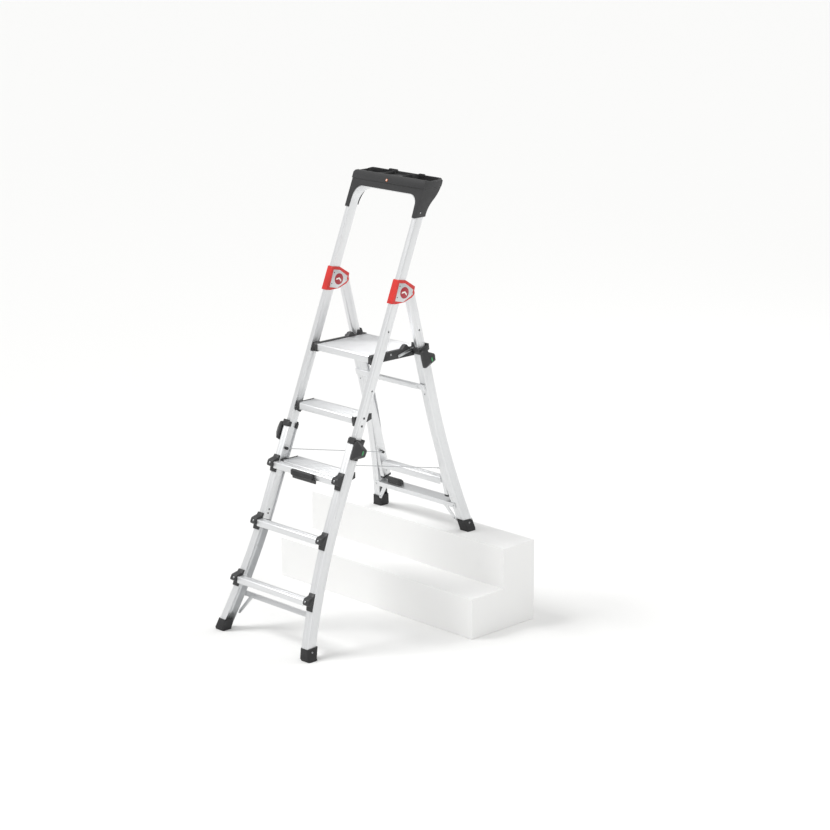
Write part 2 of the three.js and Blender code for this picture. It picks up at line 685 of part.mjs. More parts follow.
// Shallow channel across the back of the front legs.
const FRONT_BRACE_S = 181;
const FRONT_BRACE_DEPTH = 10;
function frontBrace() {
  const face = RAIL_DEPTH + LAP;
  const legX = LEG_TIP_X + flare(FRONT_BRACE_S);
  const top = FRONT_BRACE_S + BRACE_HEIGHT / 2;
  const section = treadSection(face, face + FRONT_BRACE_DEPTH, top, BRACE_HEIGHT, PLATE, 0, 0);
  const bar = prismX(section, -legX - 14, legX + 14);
  const down = strut(legX, FRONT_BRACE_S - 6, 76, face, face + PLATE);
  return join(bar, down, mirrored(down));
}
add(frontSlope, 'front_brace', frontBrace(), aluminium);

// Bar across the front of the rear legs, with a shelf reaching back between them.
const REAR_BRACE_S = 480;
const SHELF_DEPTH = 40;
function rearBrace() {
  const legX = LEG_TIP_X + flare(REAR_BRACE_S - REAR_FOOT_S);
  const top = REAR_BRACE_S + BRACE_HEIGHT / 2;
  const bottom = REAR_BRACE_S - BRACE_HEIGHT / 2;
  const face = polygon([
    [-LAP - PLATE, bottom],
    [-LAP, bottom],
    [-LAP, top],
    [-LAP - PLATE, top],
  ]);
  const shelf = polygon([
    [-LAP - PLATE, top - PLATE],
    [SHELF_DEPTH - PLATE, top - PLATE],
    [SHELF_DEPTH - PLATE, top - 13],
    [SHELF_DEPTH, top - 13],
    [SHELF_DEPTH, top],
    [-LAP - PLATE, top],
  ]);
  const between = LEG_TIP_X + flare(top - REAR_FOOT_S) - 2;
  const down = strut(legX, REAR_BRACE_S - 6, 62, -LAP - PLATE, -LAP);
  return join(prismX(face, -legX - 22, legX + 22), prismX(shelf, -between, between), down, mirrored(down));
}
add(rearSlope, 'rear_brace', rearBrace(), aluminium);

// Oval rung across the front of the rear legs.
const RUNG_Z = 996;
const RUNG_HEIGHT = 26;
const RUNG_DEPTH = 14;
const RUNG_END_DEPTH = 8; // pressed flatter where it crosses the legs
function rung() {
  const s = alongRear(RUNG_Z, -LAP - RUNG_DEPTH / 2);
  const section = roundedRect(-LAP - RUNG_DEPTH, s - RUNG_HEIGHT / 2, -LAP, s + RUNG_HEIGHT / 2, 6.5);
  const body = prismX(section, -RAIL_OUTER_X, RAIL_OUTER_X, 5);
  const away = prismY(
    polygon([
      [LEG_TIP_X - 8, s - RUNG_HEIGHT],
      [RAIL_OUTER_X + 5, s - RUNG_HEIGHT],
      [RAIL_OUTER_X + 5, s + RUNG_HEIGHT],
      [LEG_TIP_X - 8, s + RUNG_HEIGHT],
    ]),
    -LAP - RUNG_DEPTH - 5,
    -LAP - RUNG_END_DEPTH,
  );
  return cut(body, away, mirrored(away));
}
add(rearSlope, 'rear_rung', rung(), aluminium);

// Cross bar that ties the lower ends of the rear rails.
const REAR_BAR_TOP = 578;
function rearBar() {
  const y0 = rearLineY(REAR_BAR_TOP) + 3;
  const body = prismX(treadSection(y0, y0 + 40, REAR_BAR_TOP, 30, 3, 0, 0), -BRACKET_OUTER_X, BRACKET_OUTER_X);
  const tongue = polygon([
    [y0 + 9, REAR_BAR_TOP - 5],
    [y0 + 9, REAR_BAR_TOP - 25],
    [y0 + 32, REAR_BAR_TOP - 25],
    [y0 + 32, REAR_BAR_TOP - 5],
  ]);
  const reach = RAIL_INNER_X - GAP;
  return join(body, prismX(tongue, BRACKET_OUTER_X - 4, reach), prismX(tongue, -reach, -BRACKET_OUTER_X + 4));
}
add(ladder, 'rear_bar', rearBar(), aluminium);

// ---------------------------------------------------------------- main hinges
// Red housing: a front wall and two cheeks around the front rail, with the rear rail's head between them.
const CHEEK_IN_X = RAIL_INNER_X - 4.5;
const CHEEK_OUT_X = RAIL_OUTER_X + 5;
const HOUSING_FRONT = -3.4; // housing before the rail's front face
function hingeHousing() {
  const d = HINGE_FRONT_D;
  const s = HINGE_FRONT_S;
  const outline = new THREE.Shape();
  outline.moveTo(HOUSING_FRONT, s - 66);
  outline.lineTo(18, s - 62);
  outline.lineTo(d - 30, s - 43);
  outline.lineTo(d + 5, s - 14);
  outline.absarc(d, s + 4, 14, -0.5, 0.9);
  outline.lineTo(d + 6, s + 33);
  outline.lineTo(38, s + 44);
  outline.lineTo(-1, s + 36);
  outline.lineTo(HOUSING_FRONT, s + 32);
  const body = prismX(outline, CHEEK_IN_X, CHEEK_OUT_X, 4);
  const inside = polygon([
    [-0.4, s - 120],
    [d + 60, s - 120],
    [d + 60, s + 120],
    [-0.4, s + 120],
  ]);
  const space = prismX(inside, RAIL_INNER_X - 0.4, RAIL_OUTER_X + 0.4);
  const pinHole = cylinderX(HINGE_PIN_RADIUS + GAP, CHEEK_IN_X - 1, CHEEK_OUT_X + 1, d, s, 20);
  return cut(body, space, pinHole);
}
addPair(frontSlope, 'hinge_housing', hingeHousing(), redPlastic);
const hingePin = cylinderX(HINGE_PIN_RADIUS, CHEEK_IN_X - 1, CHEEK_OUT_X + 1, HINGE_FRONT_D, HINGE_FRONT_S, 20);
addPair(frontSlope, 'hinge_pin', hingePin, zincSteel);

// ---------------------------------------------------------------- platform
function platformDeck() {
  const section = treadSection(DECK_FRONT, DECK_REAR, DECK_TOP, DECK_THICK, TREAD_WALL, 0, 0);
  return prismX(section, -DECK_HALF, DECK_HALF);
}
add(ladder, 'platform_deck', platformDeck(), aluminium);

// Side arm: front block by the rail with its own pivot pin, two horns, and a tail on the rear rail's stud.
const BLOCK_FRONT = 8; // the block's faces behind the rail's front
const BLOCK_REAR = 36;
const ARM_IN_X = DECK_HALF + GAP;
const ARM_OUT_X = ARM_IN_X + ARM_THICK;
function platformArm() {
  const top = DECK_TOP + ARM_RISE;
  const bottom = DECK_TOP - DECK_THICK - 5;
  const front = DECK_FRONT - 2;
  const horn = DECK_REAR - 82;
  const peg = DECK_REAR - 30;
  const bar = prismX(
    polygon([
      [front, bottom],
      [DECK_REAR + 2, bottom],
      [DECK_REAR + 4, bottom + 8],
      [DECK_REAR + 4, top],
      [peg + 5, top],
      [peg + 4, top + 16],
      [peg - 4, top + 16],
      [peg - 5, top],
      [horn + 22, top],
      [horn + 12, top + 8],
      [horn + 6, top + 16],
      [horn - 6, top + 16],
      [horn - 22, top],
      [front + 8, top],
      [front, top - 6],
    ]),
    ARM_IN_X,
    ARM_OUT_X,
  );
  const onRail = (z, depth) => frontLineY(z) + depth / Math.cos(FRONT_TILT);
  const block = prismX(
    polygon([
      [onRail(bottom, BLOCK_FRONT), bottom],
      [onRail(bottom, BLOCK_REAR), bottom],
      [onRail(top, BLOCK_REAR), top],
      [onRail(top, BLOCK_FRONT), top],
    ]),
    ARM_OUT_X - 1,
    RAIL_INNER_X - GAP,
  );
  const pivotY = frontLineY(PLATFORM_PIVOT_Z) + RAIL_DEPTH / 2 / Math.cos(FRONT_TILT);
  const pin = cylinderX(PLATFORM_PIN_RADIUS, ARM_OUT_X, RAIL_INNER_X + 6, pivotY, PLATFORM_PIVOT_Z, 16);
  return join(bar, block, pin);
}
addPair(ladder, 'platform_arm', platformArm(), blackPlastic);

// Flat steel strap on the outside of each arm, rounded at both ends.
const STRAP_WIDTH = 12;
const STRAP_THICK = 2.4;
function platformStrap() {
  const from = new THREE.Vector2(DECK_REAR - 124, DECK_TOP - 22);
  const to = new THREE.Vector2(DECK_REAR - 44, DECK_TOP - 3);
  const turn = Math.atan2(to.y - from.y, to.x - from.x);
  const shape = new THREE.Shape();
  shape.absarc(from.x, from.y, STRAP_WIDTH / 2, turn + Math.PI / 2, turn + Math.PI * 1.5);
  shape.absarc(to.x, to.y, STRAP_WIDTH / 2, turn - Math.PI / 2, turn + Math.PI / 2);
  return prismX(shape, ARM_OUT_X + GAP, ARM_OUT_X + GAP + STRAP_THICK, 8);
}
addPair(ladder, 'platform_strap', platformStrap(), zincSteel);

// ---------------------------------------------------------------- tool tray on the handrail
const TRAY_FRONT_OFF = 3.6; // tray front before the rails' front face

// Side outline of the tray, pulled in by the wall for the hollow.
function traySide(inset, top, foot) {
  const shape = new THREE.Shape();
  const front = (z) => frontLineY(z) - TRAY_FRONT_OFF + inset;
  shape.moveTo(front(foot), foot);
  shape.lineTo(258 - inset, foot);
  shape.quadraticCurveTo(267 - inset, 1745, 297 - inset, 1771);
  shape.quadraticCurveTo(350 - inset, 1812, 355 - inset, Math.min(top, 1850));
  shape.lineTo(355 - inset, top);
  shape.lineTo(front(top), top);
  return shape;
}

// Front outline: two legs joined by the tray, with a rounded arch between them.
function trayFront() {
  const inner = RAIL_INNER_X + 2;
  const arch = 38;
  const corner = 12;
  const shape = new THREE.Shape();
  shape.moveTo(inner, TRAY_FOOT - 2);
  shape.lineTo(TRAY_HALF, TRAY_FOOT - 2);
  shape.lineTo(TRAY_HALF, TRAY_TOP - corner);
  shape.absarc(TRAY_HALF - corner, TRAY_TOP - corner, corner, 0, Math.PI / 2);
  shape.lineTo(-TRAY_HALF + corner, TRAY_TOP);
  shape.absarc(-TRAY_HALF + corner, TRAY_TOP - corner, corner, Math.PI / 2, Math.PI);
  shape.lineTo(-TRAY_HALF, TRAY_FOOT - 2);
  shape.lineTo(-inner, TRAY_FOOT - 2);
  shape.lineTo(-inner + 3, TRAY_ARCH_Z - arch);
  shape.absarc(-inner + 3 + arch, TRAY_ARCH_Z - arch, arch, Math.PI, Math.PI / 2, true);
  shape.lineTo(inner - 3 - arch, TRAY_ARCH_Z);
  shape.absarc(inner - 3 - arch, TRAY_ARCH_Z - arch, arch, Math.PI / 2, 0, true);
  return shape;
}

function tray() {
  const side = prismX(traySide(0, TRAY_TOP, TRAY_FOOT), -TRAY_HALF - 1, TRAY_HALF + 1, 6);
  const outside = common(side, prismY(trayFront(), 150, 405, 5));
  const half = TRAY_HALF - TRAY_WALL;
  const hollow = prismX(traySide(TRAY_WALL, TRAY_FLOOR - TRAY_WALL, TRAY_FOOT - 5), -half, half, 6);
  const rimFront = frontLineY(TRAY_TOP) - TRAY_FRONT_OFF + 5;
  const leftPocket = prismZ(roundedRect(-half, rimFront, -62, 350, 22), TRAY_FLOOR, TRAY_TOP + 1, 5);
  const rightPocket = prismZ(roundedRect(52, rimFront, half, 350, 22), TRAY_FLOOR, TRAY_TOP + 1, 5);
  const middle = prismZ(roundedRect(-58, rimFront, 48, 350, 10), TRAY_TOP - 11, TRAY_TOP + 1, 4);
  const hump = prismY(roundedRect(-98, TRAY_TOP - 8, -48, TRAY_TOP + 6, 5), 349, 355, 3);
  const bump = prismY(roundedRect(78, TRAY_TOP - 8, 112, TRAY_TOP + 4, 4), 349, 355, 3);
  return join(cut(outside, hollow, leftPocket, rightPocket, middle), hump, bump);
}
add(ladder, 'tray', tray(), blackPlastic);

// ---------------------------------------------------------------- release handle under the third step
function releaseHandle() {
  const top = treadTop(2);
  const face = frontLineY(top) - OUTER_TREAD_FRONT - GAP;
  const grip = prismX(roundedRect(face - 17, top - 28, face, top - 2, 7), -53, 74, 4);
  const flap = prismX(
    polygon([
      [face - 13, top - 24],
      [face - 10, top - 39],
      [face - 6, top - 39],
      [face - 5, top - 24],
    ]),
    -49,
    90,
  );
  return join(grip, flap);
}
add(ladder, 'release_handle', releaseHandle(), blackPlastic);

// Latch on the rear brace's shelf that holds the folded ladder shut.
function transportLatch() {
  const y = 6;
  const z = REAR_BRACE_S + BRACE_HEIGHT / 2 + GAP;
  const shape = polygon([
    [y, z],
    [y + 24, z],
    [y + 24, z + 14],
    [y + 14, z + 26],
    [y - 4, z + 30],
    [y - 6, z + 22],
    [y + 6, z + 16],
  ]);
  return prismX(shape, -176, -96);
}
add(rearSlope, 'transport_latch', transportLatch(), blackPlastic);

// ---------------------------------------------------------------- stay cords
const STAY_FRONT_S = 808; // front anchor along the front rails
const STAY_REAR_S = 635; // rear anchor along the rear rails
const STAY_DEPTH = 18;
const STAY_X = RAIL_INNER_X - 9;
const ANCHOR_RADIUS = 6;
function stayAnchor(s) {
  return cylinderX(ANCHOR_RADIUS, STAY_X - 5, RAIL_INNER_X - GAP, STAY_DEPTH, s, 16);
}
addPair(frontSlope, 'front_stay_anchor', stayAnchor(STAY_FRONT_S), blackPlastic);
addPair(rearSlope, 'rear_stay_anchor', stayAnchor(STAY_REAR_S), blackPlastic);

// The cord runs taut from one anchor's rim to the other's.
function stayCord() {
  const from = new THREE.Vector3(STAY_X - 1, STAY_DEPTH, STAY_FRONT_S).applyMatrix4(frontSlope.matrixWorld);
  const to = new THREE.Vector3(STAY_X - 1, STAY_DEPTH, STAY_REAR_S).applyMatrix4(rearSlope.matrixWorld);
  const along = to.clone().sub(from).normalize();
  const start = from.clone().addScaledVector(along, ANCHOR_RADIUS + GAP);
  const end = to.clone().addScaledVector(along, -ANCHOR_RADIUS - GAP);
  const across = new THREE.Vector3(1, 0, 0);
  const depth = new THREE.Vector3().crossVectors(along, across).normalize();
  const round = new THREE.Shape();
  round.absarc(0, 0, CORD_RADIUS, 0, Math.PI * 2);
  return sweep(round, [{ at: start, across, depth }, { at: end, across, depth }], 8);
}
addPair(ladder, 'stay_cord', stayCord(), cordSheath);

export default ladder;
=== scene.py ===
"""Folding step ladder: finished surfaces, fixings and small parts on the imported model, and a plain studio."""
import json
import math

import bmesh
import bpy
from mathutils import Matrix, Vector


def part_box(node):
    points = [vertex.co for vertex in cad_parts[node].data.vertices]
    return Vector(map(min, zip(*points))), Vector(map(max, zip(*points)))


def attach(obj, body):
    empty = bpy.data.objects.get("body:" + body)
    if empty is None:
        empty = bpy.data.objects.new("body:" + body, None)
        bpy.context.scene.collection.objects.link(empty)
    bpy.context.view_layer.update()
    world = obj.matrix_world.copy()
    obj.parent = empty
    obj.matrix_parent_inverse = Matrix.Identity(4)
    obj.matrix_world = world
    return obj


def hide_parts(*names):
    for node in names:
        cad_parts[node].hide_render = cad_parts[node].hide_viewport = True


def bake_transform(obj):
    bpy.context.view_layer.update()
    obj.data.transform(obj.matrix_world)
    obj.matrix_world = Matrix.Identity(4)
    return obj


bl_info = {
    "name": "Folding Step Ladder",
    "version": (1, 0, 0),
    "blender": (4, 5, 0),
    "location": "3D View > Sidebar > Ladder",
    "description": "Builds the ladder's finished pieces on its packed frame",
    "category": "Object",
}

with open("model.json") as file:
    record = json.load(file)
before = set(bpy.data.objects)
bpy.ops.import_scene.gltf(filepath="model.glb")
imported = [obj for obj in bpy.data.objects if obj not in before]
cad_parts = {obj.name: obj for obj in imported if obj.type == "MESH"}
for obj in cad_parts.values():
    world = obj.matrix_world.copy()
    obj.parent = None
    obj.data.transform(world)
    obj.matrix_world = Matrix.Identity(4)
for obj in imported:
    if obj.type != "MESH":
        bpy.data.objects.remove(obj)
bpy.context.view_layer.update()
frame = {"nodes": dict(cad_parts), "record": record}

MM = 0.001
FRONT_TILT = math.radians(22)
REAR_TILT = math.radians(14.9)
FRONT_LINE_Y = -487.6
REAR_LINE_Y = 531.3
REAR_FOOT_S = 350 / math.cos(REAR_TILT)
REAR_LEG_TOP_S = REAR_FOOT_S + 822
FRONT_LEG_TOP = 898
TREAD_TOPS = (236.0, 467.5, 699.0, 930.5)
RAIL_OUTER = 206  # outer and inner faces of every sliding rail, across the ladder
RAIL_INNER = 185
HINGE_OUTER = 211  # cheeks of the hinge housings
HINGE_INNER = 180.5
ARM_FACE = 172.9  # outer face of the platform's arms
LOCK_FACE = 255  # outermost face of the lock levers


# ---------------------------------------------------------------- places on the ladder
def on_front(x, depth, along):
    """A point given across the ladder, behind the front rails' face and up along them, in mm."""
    y = FRONT_LINE_Y + depth * math.cos(FRONT_TILT) + along * math.sin(FRONT_TILT)
    z = along * math.cos(FRONT_TILT) - depth * math.sin(FRONT_TILT)
    return Vector((x, y, z)) * MM


def on_rear(x, depth, along):
    """The same on the rear rails."""
    y = REAR_LINE_Y + depth * math.cos(REAR_TILT) - along * math.sin(REAR_TILT)
    z = along * math.cos(REAR_TILT) + depth * math.sin(REAR_TILT)
    return Vector((x, y, z)) * MM


FRONT_BACK = Vector((0, math.cos(FRONT_TILT), -math.sin(FRONT_TILT)))
REAR_BACK = Vector((0, math.cos(REAR_TILT), math.sin(REAR_TILT)))
ACROSS = Vector((1, 0, 0))


def flare(height):
    """How far a leg has moved outwards at this height above its boot, in mm."""
    below = max(0.0, 610 - height)
    return below * below / (2 * 2618)


def front_along(z, depth=0.0):
    return (z + depth * math.sin(FRONT_TILT)) / math.cos(FRONT_TILT)


def rear_along(z, depth=0.0):
    return (z - depth * math.sin(REAR_TILT)) / math.cos(REAR_TILT)


# ---------------------------------------------------------------- colours and materials
def linear(code):
    """A colour given as sRGB hex, as linear RGBA."""
    values = [int(code[i:i + 2], 16) / 255 for i in (1, 3, 5)]
    return tuple(v / 12.92 if v <= 0.04045 else ((v + 0.055) / 1.055) ** 2.4 for v in values) + (1.0,)


class LadderColours(bpy.types.PropertyGroup):
    """Colours of the ladder's materials."""

    aluminium: bpy.props.FloatVectorProperty(
        name="Aluminium", description="Colour of the mill-finished extrusions", subtype="COLOR", size=4,
        min=0, max=1, default=linear("#ecedee"))
    plastic: bpy.props.FloatVectorProperty(
        name="Black plastic", description="Colour of the moulded polyamide", subtype="COLOR", size=4,
        min=0, max=1, default=linear("#2c2c2d"))
    red: bpy.props.FloatVectorProperty(
        name="Red plastic", description="Colour of the hinge housings", subtype="COLOR", size=4,
        min=0, max=1, default=linear("#cb2c26"))
    rubber: bpy.props.FloatVectorProperty(
        name="Rubber", description="Colour of the boots", subtype="COLOR", size=4,
        min=0, max=1, default=linear("#202021"))
    zinc: bpy.props.FloatVectorProperty(
        name="Zinc", description="Colour of plated screws, pins and straps", subtype="COLOR", size=4,
        min=0, max=1, default=linear("#c9cbcc"))
    studio: bpy.props.FloatVectorProperty(
        name="Studio white", description="Colour of the floor and the steps", subtype="COLOR", size=4,
        min=0, max=1, default=linear("#f2f2f1"))


class LadderSizes(bpy.types.PropertyGroup):
    """Sizes of the finishing detail."""

    metal_edge: bpy.props.FloatProperty(
        name="Metal edge", description="Edge rounding on extrusions", default=0.4 * MM, min=0, unit="LENGTH")
    plastic_edge: bpy.props.FloatProperty(
        name="Plastic edge", description="Edge rounding on moulded parts",
        default=1.2 * MM, min=0, unit="LENGTH")
    screw_radius: bpy.props.FloatProperty(
        name="Screw radius", description="Radius of a screw's head", default=4.2 * MM, min=0, unit="LENGTH")
    rivet_radius: bpy.props.FloatProperty(
        name="Rivet radius", description="Radius of a rivet's head", default=4.6 * MM, min=0, unit="LENGTH")


def add_node(tree, kind, inputs=(), **settings):
    """One node with its settings and its inputs: a socket is linked, a value is set."""
    made = tree.nodes.new(kind)
    for key, value in settings.items():
        setattr(made, key, value)
    for key, value in dict(inputs).items():
        if isinstance(value, bpy.types.NodeSocket):
            tree.links.new(value, made.inputs[key])
        else:
            made.inputs[key].default_value = value
    return made


def start_material(name):
    """A material with an empty tree, its surface shader and its object coordinates."""
    made = bpy.data.materials.new(name)
    made.use_nodes = True
    tree = made.node_tree
    tree.nodes.clear()
    shader = add_node(tree, "ShaderNodeBsdfPrincipled")
    output = add_node(tree, "ShaderNodeOutputMaterial", {"Surface": shader.outputs[0]})
    output.location = (300, 0)
    return made, tree, shader, add_node(tree, "ShaderNodeTexCoord").outputs["Object"]


def shade_of(colour, factor):
    return tuple(min(1.0, c * factor) for c in colour[:3]) + (1.0,)


def blend_colour(tree, share, first, second):
    return add_node(
        tree, "ShaderNodeMix", {"Factor": share, "A": first, "B": second}, data_type="RGBA").outputs["Result"]


def spread(tree, value, low, high, to_low, to_high):
    return add_node(
        tree, "ShaderNodeMapRange",
        {"Value": value, "From Min": low, "From Max": high, "To Min": to_low, "To Max": to_high},
    ).outputs["Result"]


def extruded_aluminium(name, tilt, along):
    """Mill-finished aluminium extrusion: pale grey metal with faint die lines that run along the profile."""
    made, tree, shader, place = start_material(name)
    colour = bpy.context.scene.ladder_colours.aluminium
    turned = add_node(tree, "ShaderNodeMapping", {"Vector": place, "Rotation": (tilt, 0, 0)}).outputs[0]
    # Die lines are about 0.1 mm apart on the real profile and drawn 1.5 mm apart so that they show.
    stretch = tuple(12.0 if axis == along else 650.0 for axis in range(3))
    lines = add_node(tree, "ShaderNodeMapping", {"Vector": turned, "Scale": stretch}).outputs[0]
    streaks = add_node(
        tree, "ShaderNodeTexNoise", {"Vector": lines, "Scale": 1.0, "Detail": 3.0}).outputs["Fac"]
    cloud = add_node(
        tree, "ShaderNodeTexNoise", {"Vector": place, "Scale": 9.0, "Detail": 4.0}).outputs["Fac"]
    # Handling leaves fine short scuffs, mostly along the profile.
    scuffs_at = add_node(
        tree, "ShaderNodeMapping",
        {"Vector": turned, "Scale": tuple(45.0 if axis == along else 420.0 for axis in range(3))}).outputs[0]
    scuffs = add_node(
        tree, "ShaderNodeTexNoise", {"Vector": scuffs_at, "Scale": 1.0, "Detail": 5.0}).outputs["Fac"]
    marked = spread(tree, scuffs, 0.62, 0.72, 0.0, 1.0)
    base = blend_colour(tree, streaks, shade_of(colour, 0.9), colour)
    base = blend_colour(tree, spread(tree, cloud, 0.35, 0.7, 0.0, 0.5), base, shade_of(colour, 0.93))
    tree.links.new(base, shader.inputs["Base Color"])
    rough = spread(tree, streaks, 0.2, 0.8, 0.42, 0.54)
    rough = add_node(
        tree, "ShaderNodeMath", {0: marked, 1: 0.06, 2: rough}, operation="MULTIPLY_ADD").outputs[0]
    tree.links.new(rough, shader.inputs["Roughness"])
    bump = add_node(tree, "ShaderNodeBump", {"Height": streaks, "Strength": 0.22, "Distance": 0.00012})
    tree.links.new(bump.outputs[0], shader.inputs["Normal"])
    shader.inputs["Metallic"].default_value = 1.0
    return made


def moulded_plastic(name, colour, roughness, grain, depth):
    """Injection-moulded polyamide: an even colour with a fine grain and slightly shinier worn spots."""
    made, tree, shader, place = start_material(name)
    # The mould's grain is about 0.2 mm and drawn 0.6 mm so that it shows.
    pits = add_node(tree, "ShaderNodeTexVoronoi", {"Vector": place, "Scale": grain}).outputs["Distance"]
    fine = add_node(
        tree, "ShaderNodeTexNoise", {"Vector": place, "Scale": grain * 0.6, "Detail": 4.0}).outputs["Fac"]
    cloud = add_node(
        tree, "ShaderNodeTexNoise", {"Vector": place, "Scale": 22.0, "Detail": 5.0}).outputs["Fac"]
    worn = spread(tree, cloud, 0.45, 0.7, 0.0, 1.0)
    base = blend_colour(tree, fine, shade_of(colour, 0.86), shade_of(colour, 1.12))
    base = blend_colour(tree, worn, base, shade_of(colour, 1.2))
    tree.links.new(base, shader.inputs["Base Color"])
    tree.links.new(spread(tree, worn, 0.0, 1.0, roughness, roughness - 0.1), shader.inputs["Roughness"])
    height = add_node(tree, "ShaderNodeMath", {0: pits, 1: fine}, operation="ADD").outputs[0]
    bump = add_node(tree, "ShaderNodeBump", {"Height": height, "Strength": 0.35, "Distance": depth})
    tree.links.new(bump.outputs[0], shader.inputs["Normal"])
    shader.inputs["IOR"].default_value = 1.53
    return made


def plated_steel(name, colour, roughness):
    """Zinc-plated pressed steel: bright metal with a faint crystalline mottle."""
    made, tree, shader, place = start_material(name)
    mottle = add_node(tree, "ShaderNodeTexVoronoi", {"Vector": place, "Scale": 420.0}).outputs["Color"]
    tone = add_node(tree, "ShaderNodeRGBToBW", {"Color": mottle}).outputs[0]
    scratch = add_node(
        tree, "ShaderNodeTexNoise", {"Vector": place, "Scale": 900.0, "Detail": 3.0}).outputs["Fac"]
    tree.links.new(
        blend_colour(tree, tone, shade_of(colour, 0.88), shade_of(colour, 1.04)), shader.inputs["Base Color"])
    rough = spread(tree, scratch, 0.2, 0.8, roughness - 0.06, roughness + 0.08)
    tree.links.new(rough, shader.inputs["Roughness"])
    bump = add_node(tree, "ShaderNodeBump", {"Height": scratch, "Strength": 0.12, "Distance": 0.0001})
    tree.links.new(bump.outputs[0], shader.inputs["Normal"])
    shader.inputs["Metallic"].default_value = 1.0
    return made


def braided_cord(name):
    """Braided polyester cord: two crossing sets of strands 1.2 mm apart over a pale grey core."""
    made, tree, shader, place = start_material(name)
    light, dark = linear("#c4c6c8"), linear("#86898c")
    strands = []
    for lean in (0.7, -0.7):
        turned = add_node(tree, "ShaderNodeMapping", {"Vector": place, "Rotation": (lean, 0, 0.3)}).outputs[0]
        strands.append(add_node(
            tree, "ShaderNodeTexWave", {"Vector": turned, "Scale": 130.0, "Distortion": 0.6},
            bands_direction="Y").outputs["Fac"])
    weave = add_node(tree, "ShaderNodeMath", {0: strands[0], 1: strands[1]}, operation="MAXIMUM").outputs[0]
    tree.links.new(blend_colour(tree, weave, dark, light), shader.inputs["Base Color"])
    bump = add_node(tree, "ShaderNodeBump", {"Height": weave, "Strength": 0.6, "Distance": 0.0003})
    tree.links.new(bump.outputs[0], shader.inputs["Normal"])
    shader.inputs["Roughness"].default_value = 0.8
    shader.inputs["Sheen Weight"].default_value = 0.2
    return made


def tinted_window(name, code, glow):
    """Printed polycarbonate: a smooth coloured face with a faint orange-peel."""
    made, tree, shader, place = start_material(name)
    colour = linear(code)
    peel = add_node(
        tree, "ShaderNodeTexNoise", {"Vector": place, "Scale": 700.0, "Detail": 2.0}).outputs["Fac"]
    tree.links.new(
        blend_colour(tree, peel, shade_of(colour, 0.92), shade_of(colour, 1.06)), shader.inputs["Base Color"])
    bump = add_node(tree, "ShaderNodeBump", {"Height": peel, "Strength": 0.1, "Distance": 0.0001})
    tree.links.new(bump.outputs[0], shader.inputs["Normal"])
    shader.inputs["Roughness"].default_value = glow
    shader.inputs["Coat Weight"].default_value = 0.3
    return made


def studio_paint(name, colour):
    """Matt wall paint: a soft roller stipple 3 mm across."""
    made, tree, shader, place = start_material(name)
    stipple = add_node(
        tree, "ShaderNodeTexNoise", {"Vector": place, "Scale": 320.0, "Detail": 2.0}).outputs["Fac"]
    tree.links.new(
        blend_colour(tree, stipple, shade_of(colour, 0.985), shade_of(colour, 1.0)),
        shader.inputs["Base Color"])
    shader.inputs["Roughness"].default_value = 0.9
    shader.inputs["Specular IOR Level"].default_value = 0.15
    return made


MATERIALS = {}


def make_materials():
    """Every finish once, by the name that the pieces use."""
    colours = bpy.context.scene.ladder_colours
    MATERIALS.update(
        alu_front=extruded_aluminium("aluminium_front_slope", FRONT_TILT, 2),
        alu_rear=extruded_aluminium("aluminium_rear_slope", -REAR_TILT, 2),
        alu_across=extruded_aluminium("aluminium_across", 0.0, 0),
        plastic=moulded_plastic("black_polyamide", tuple(colours.plastic), 0.5, 1600.0, 0.0002),
        red=moulded_plastic("red_polyamide", tuple(colours.red), 0.36, 1800.0, 0.0001),
        rubber=moulded_plastic("boot_rubber", tuple(colours.rubber), 0.72, 900.0, 0.0003),
        steel=plated_steel("zinc_plated_steel", tuple(colours.zinc), 0.3),
        plate=plated_steel("satin_badge_plate", linear("#d4d5d6"), 0.34),
        cord=braided_cord("braided_polyester"),
        disc=tinted_window("dark_red_disc", "#a81f2c", 0.3),
        mark=tinted_window("white_print", "#f1ece6", 0.4),
        window=tinted_window("green_window", "#2f9a55", 0.25),
        amber=tinted_window("amber_ring", "#e0783a", 0.35),
        studio=studio_paint("studio_white", tuple(colours.studio)),
    )


def place(mesh, name, finish, body, smooth=35.0):
    """Links a finished mesh as one piece, with its material and its body; no body for one that bends."""
    mesh.name = name
    mesh.materials.clear()
    mesh.materials.append(MATERIALS[finish])
    mesh.shade_smooth()
    mesh.set_sharp_from_angle(angle=math.radians(smooth))
    made = bpy.data.objects.new(name, mesh)
    bpy.context.scene.collection.objects.link(made)
    if body:
        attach(made, body)
    return made


def applied(source):
    """A plain mesh of an object with its modifiers, which are then removed with it."""
    evaluated = source.evaluated_get(bpy.context.evaluated_depsgraph_get())
    mesh = bpy.data.meshes.new_from_object(evaluated)
    bpy.data.objects.remove(source)
    return mesh


def rounded(mesh, width, segments=3, angle=28.0):
    """The mesh with its sharp edges rounded by that width."""
    source = bpy.data.objects.new("rounding", mesh)
    bpy.context.scene.collection.objects.link(source)
    bevel = source.modifiers.new("edge", "BEVEL")
    bevel.width = width
    bevel.segments = segments
    bevel.limit_method = "ANGLE"
    bevel.angle_limit = math.radians(angle)
    bevel.harden_normals = False
    bpy.context.view_layer.update()
    return applied(source)


def body_holding(node):
    for body, nodes in frame["record"]["behaviour"]["bodies"].items():
        if node in nodes:
            return body
    raise RuntimeError("no body holds " + node)


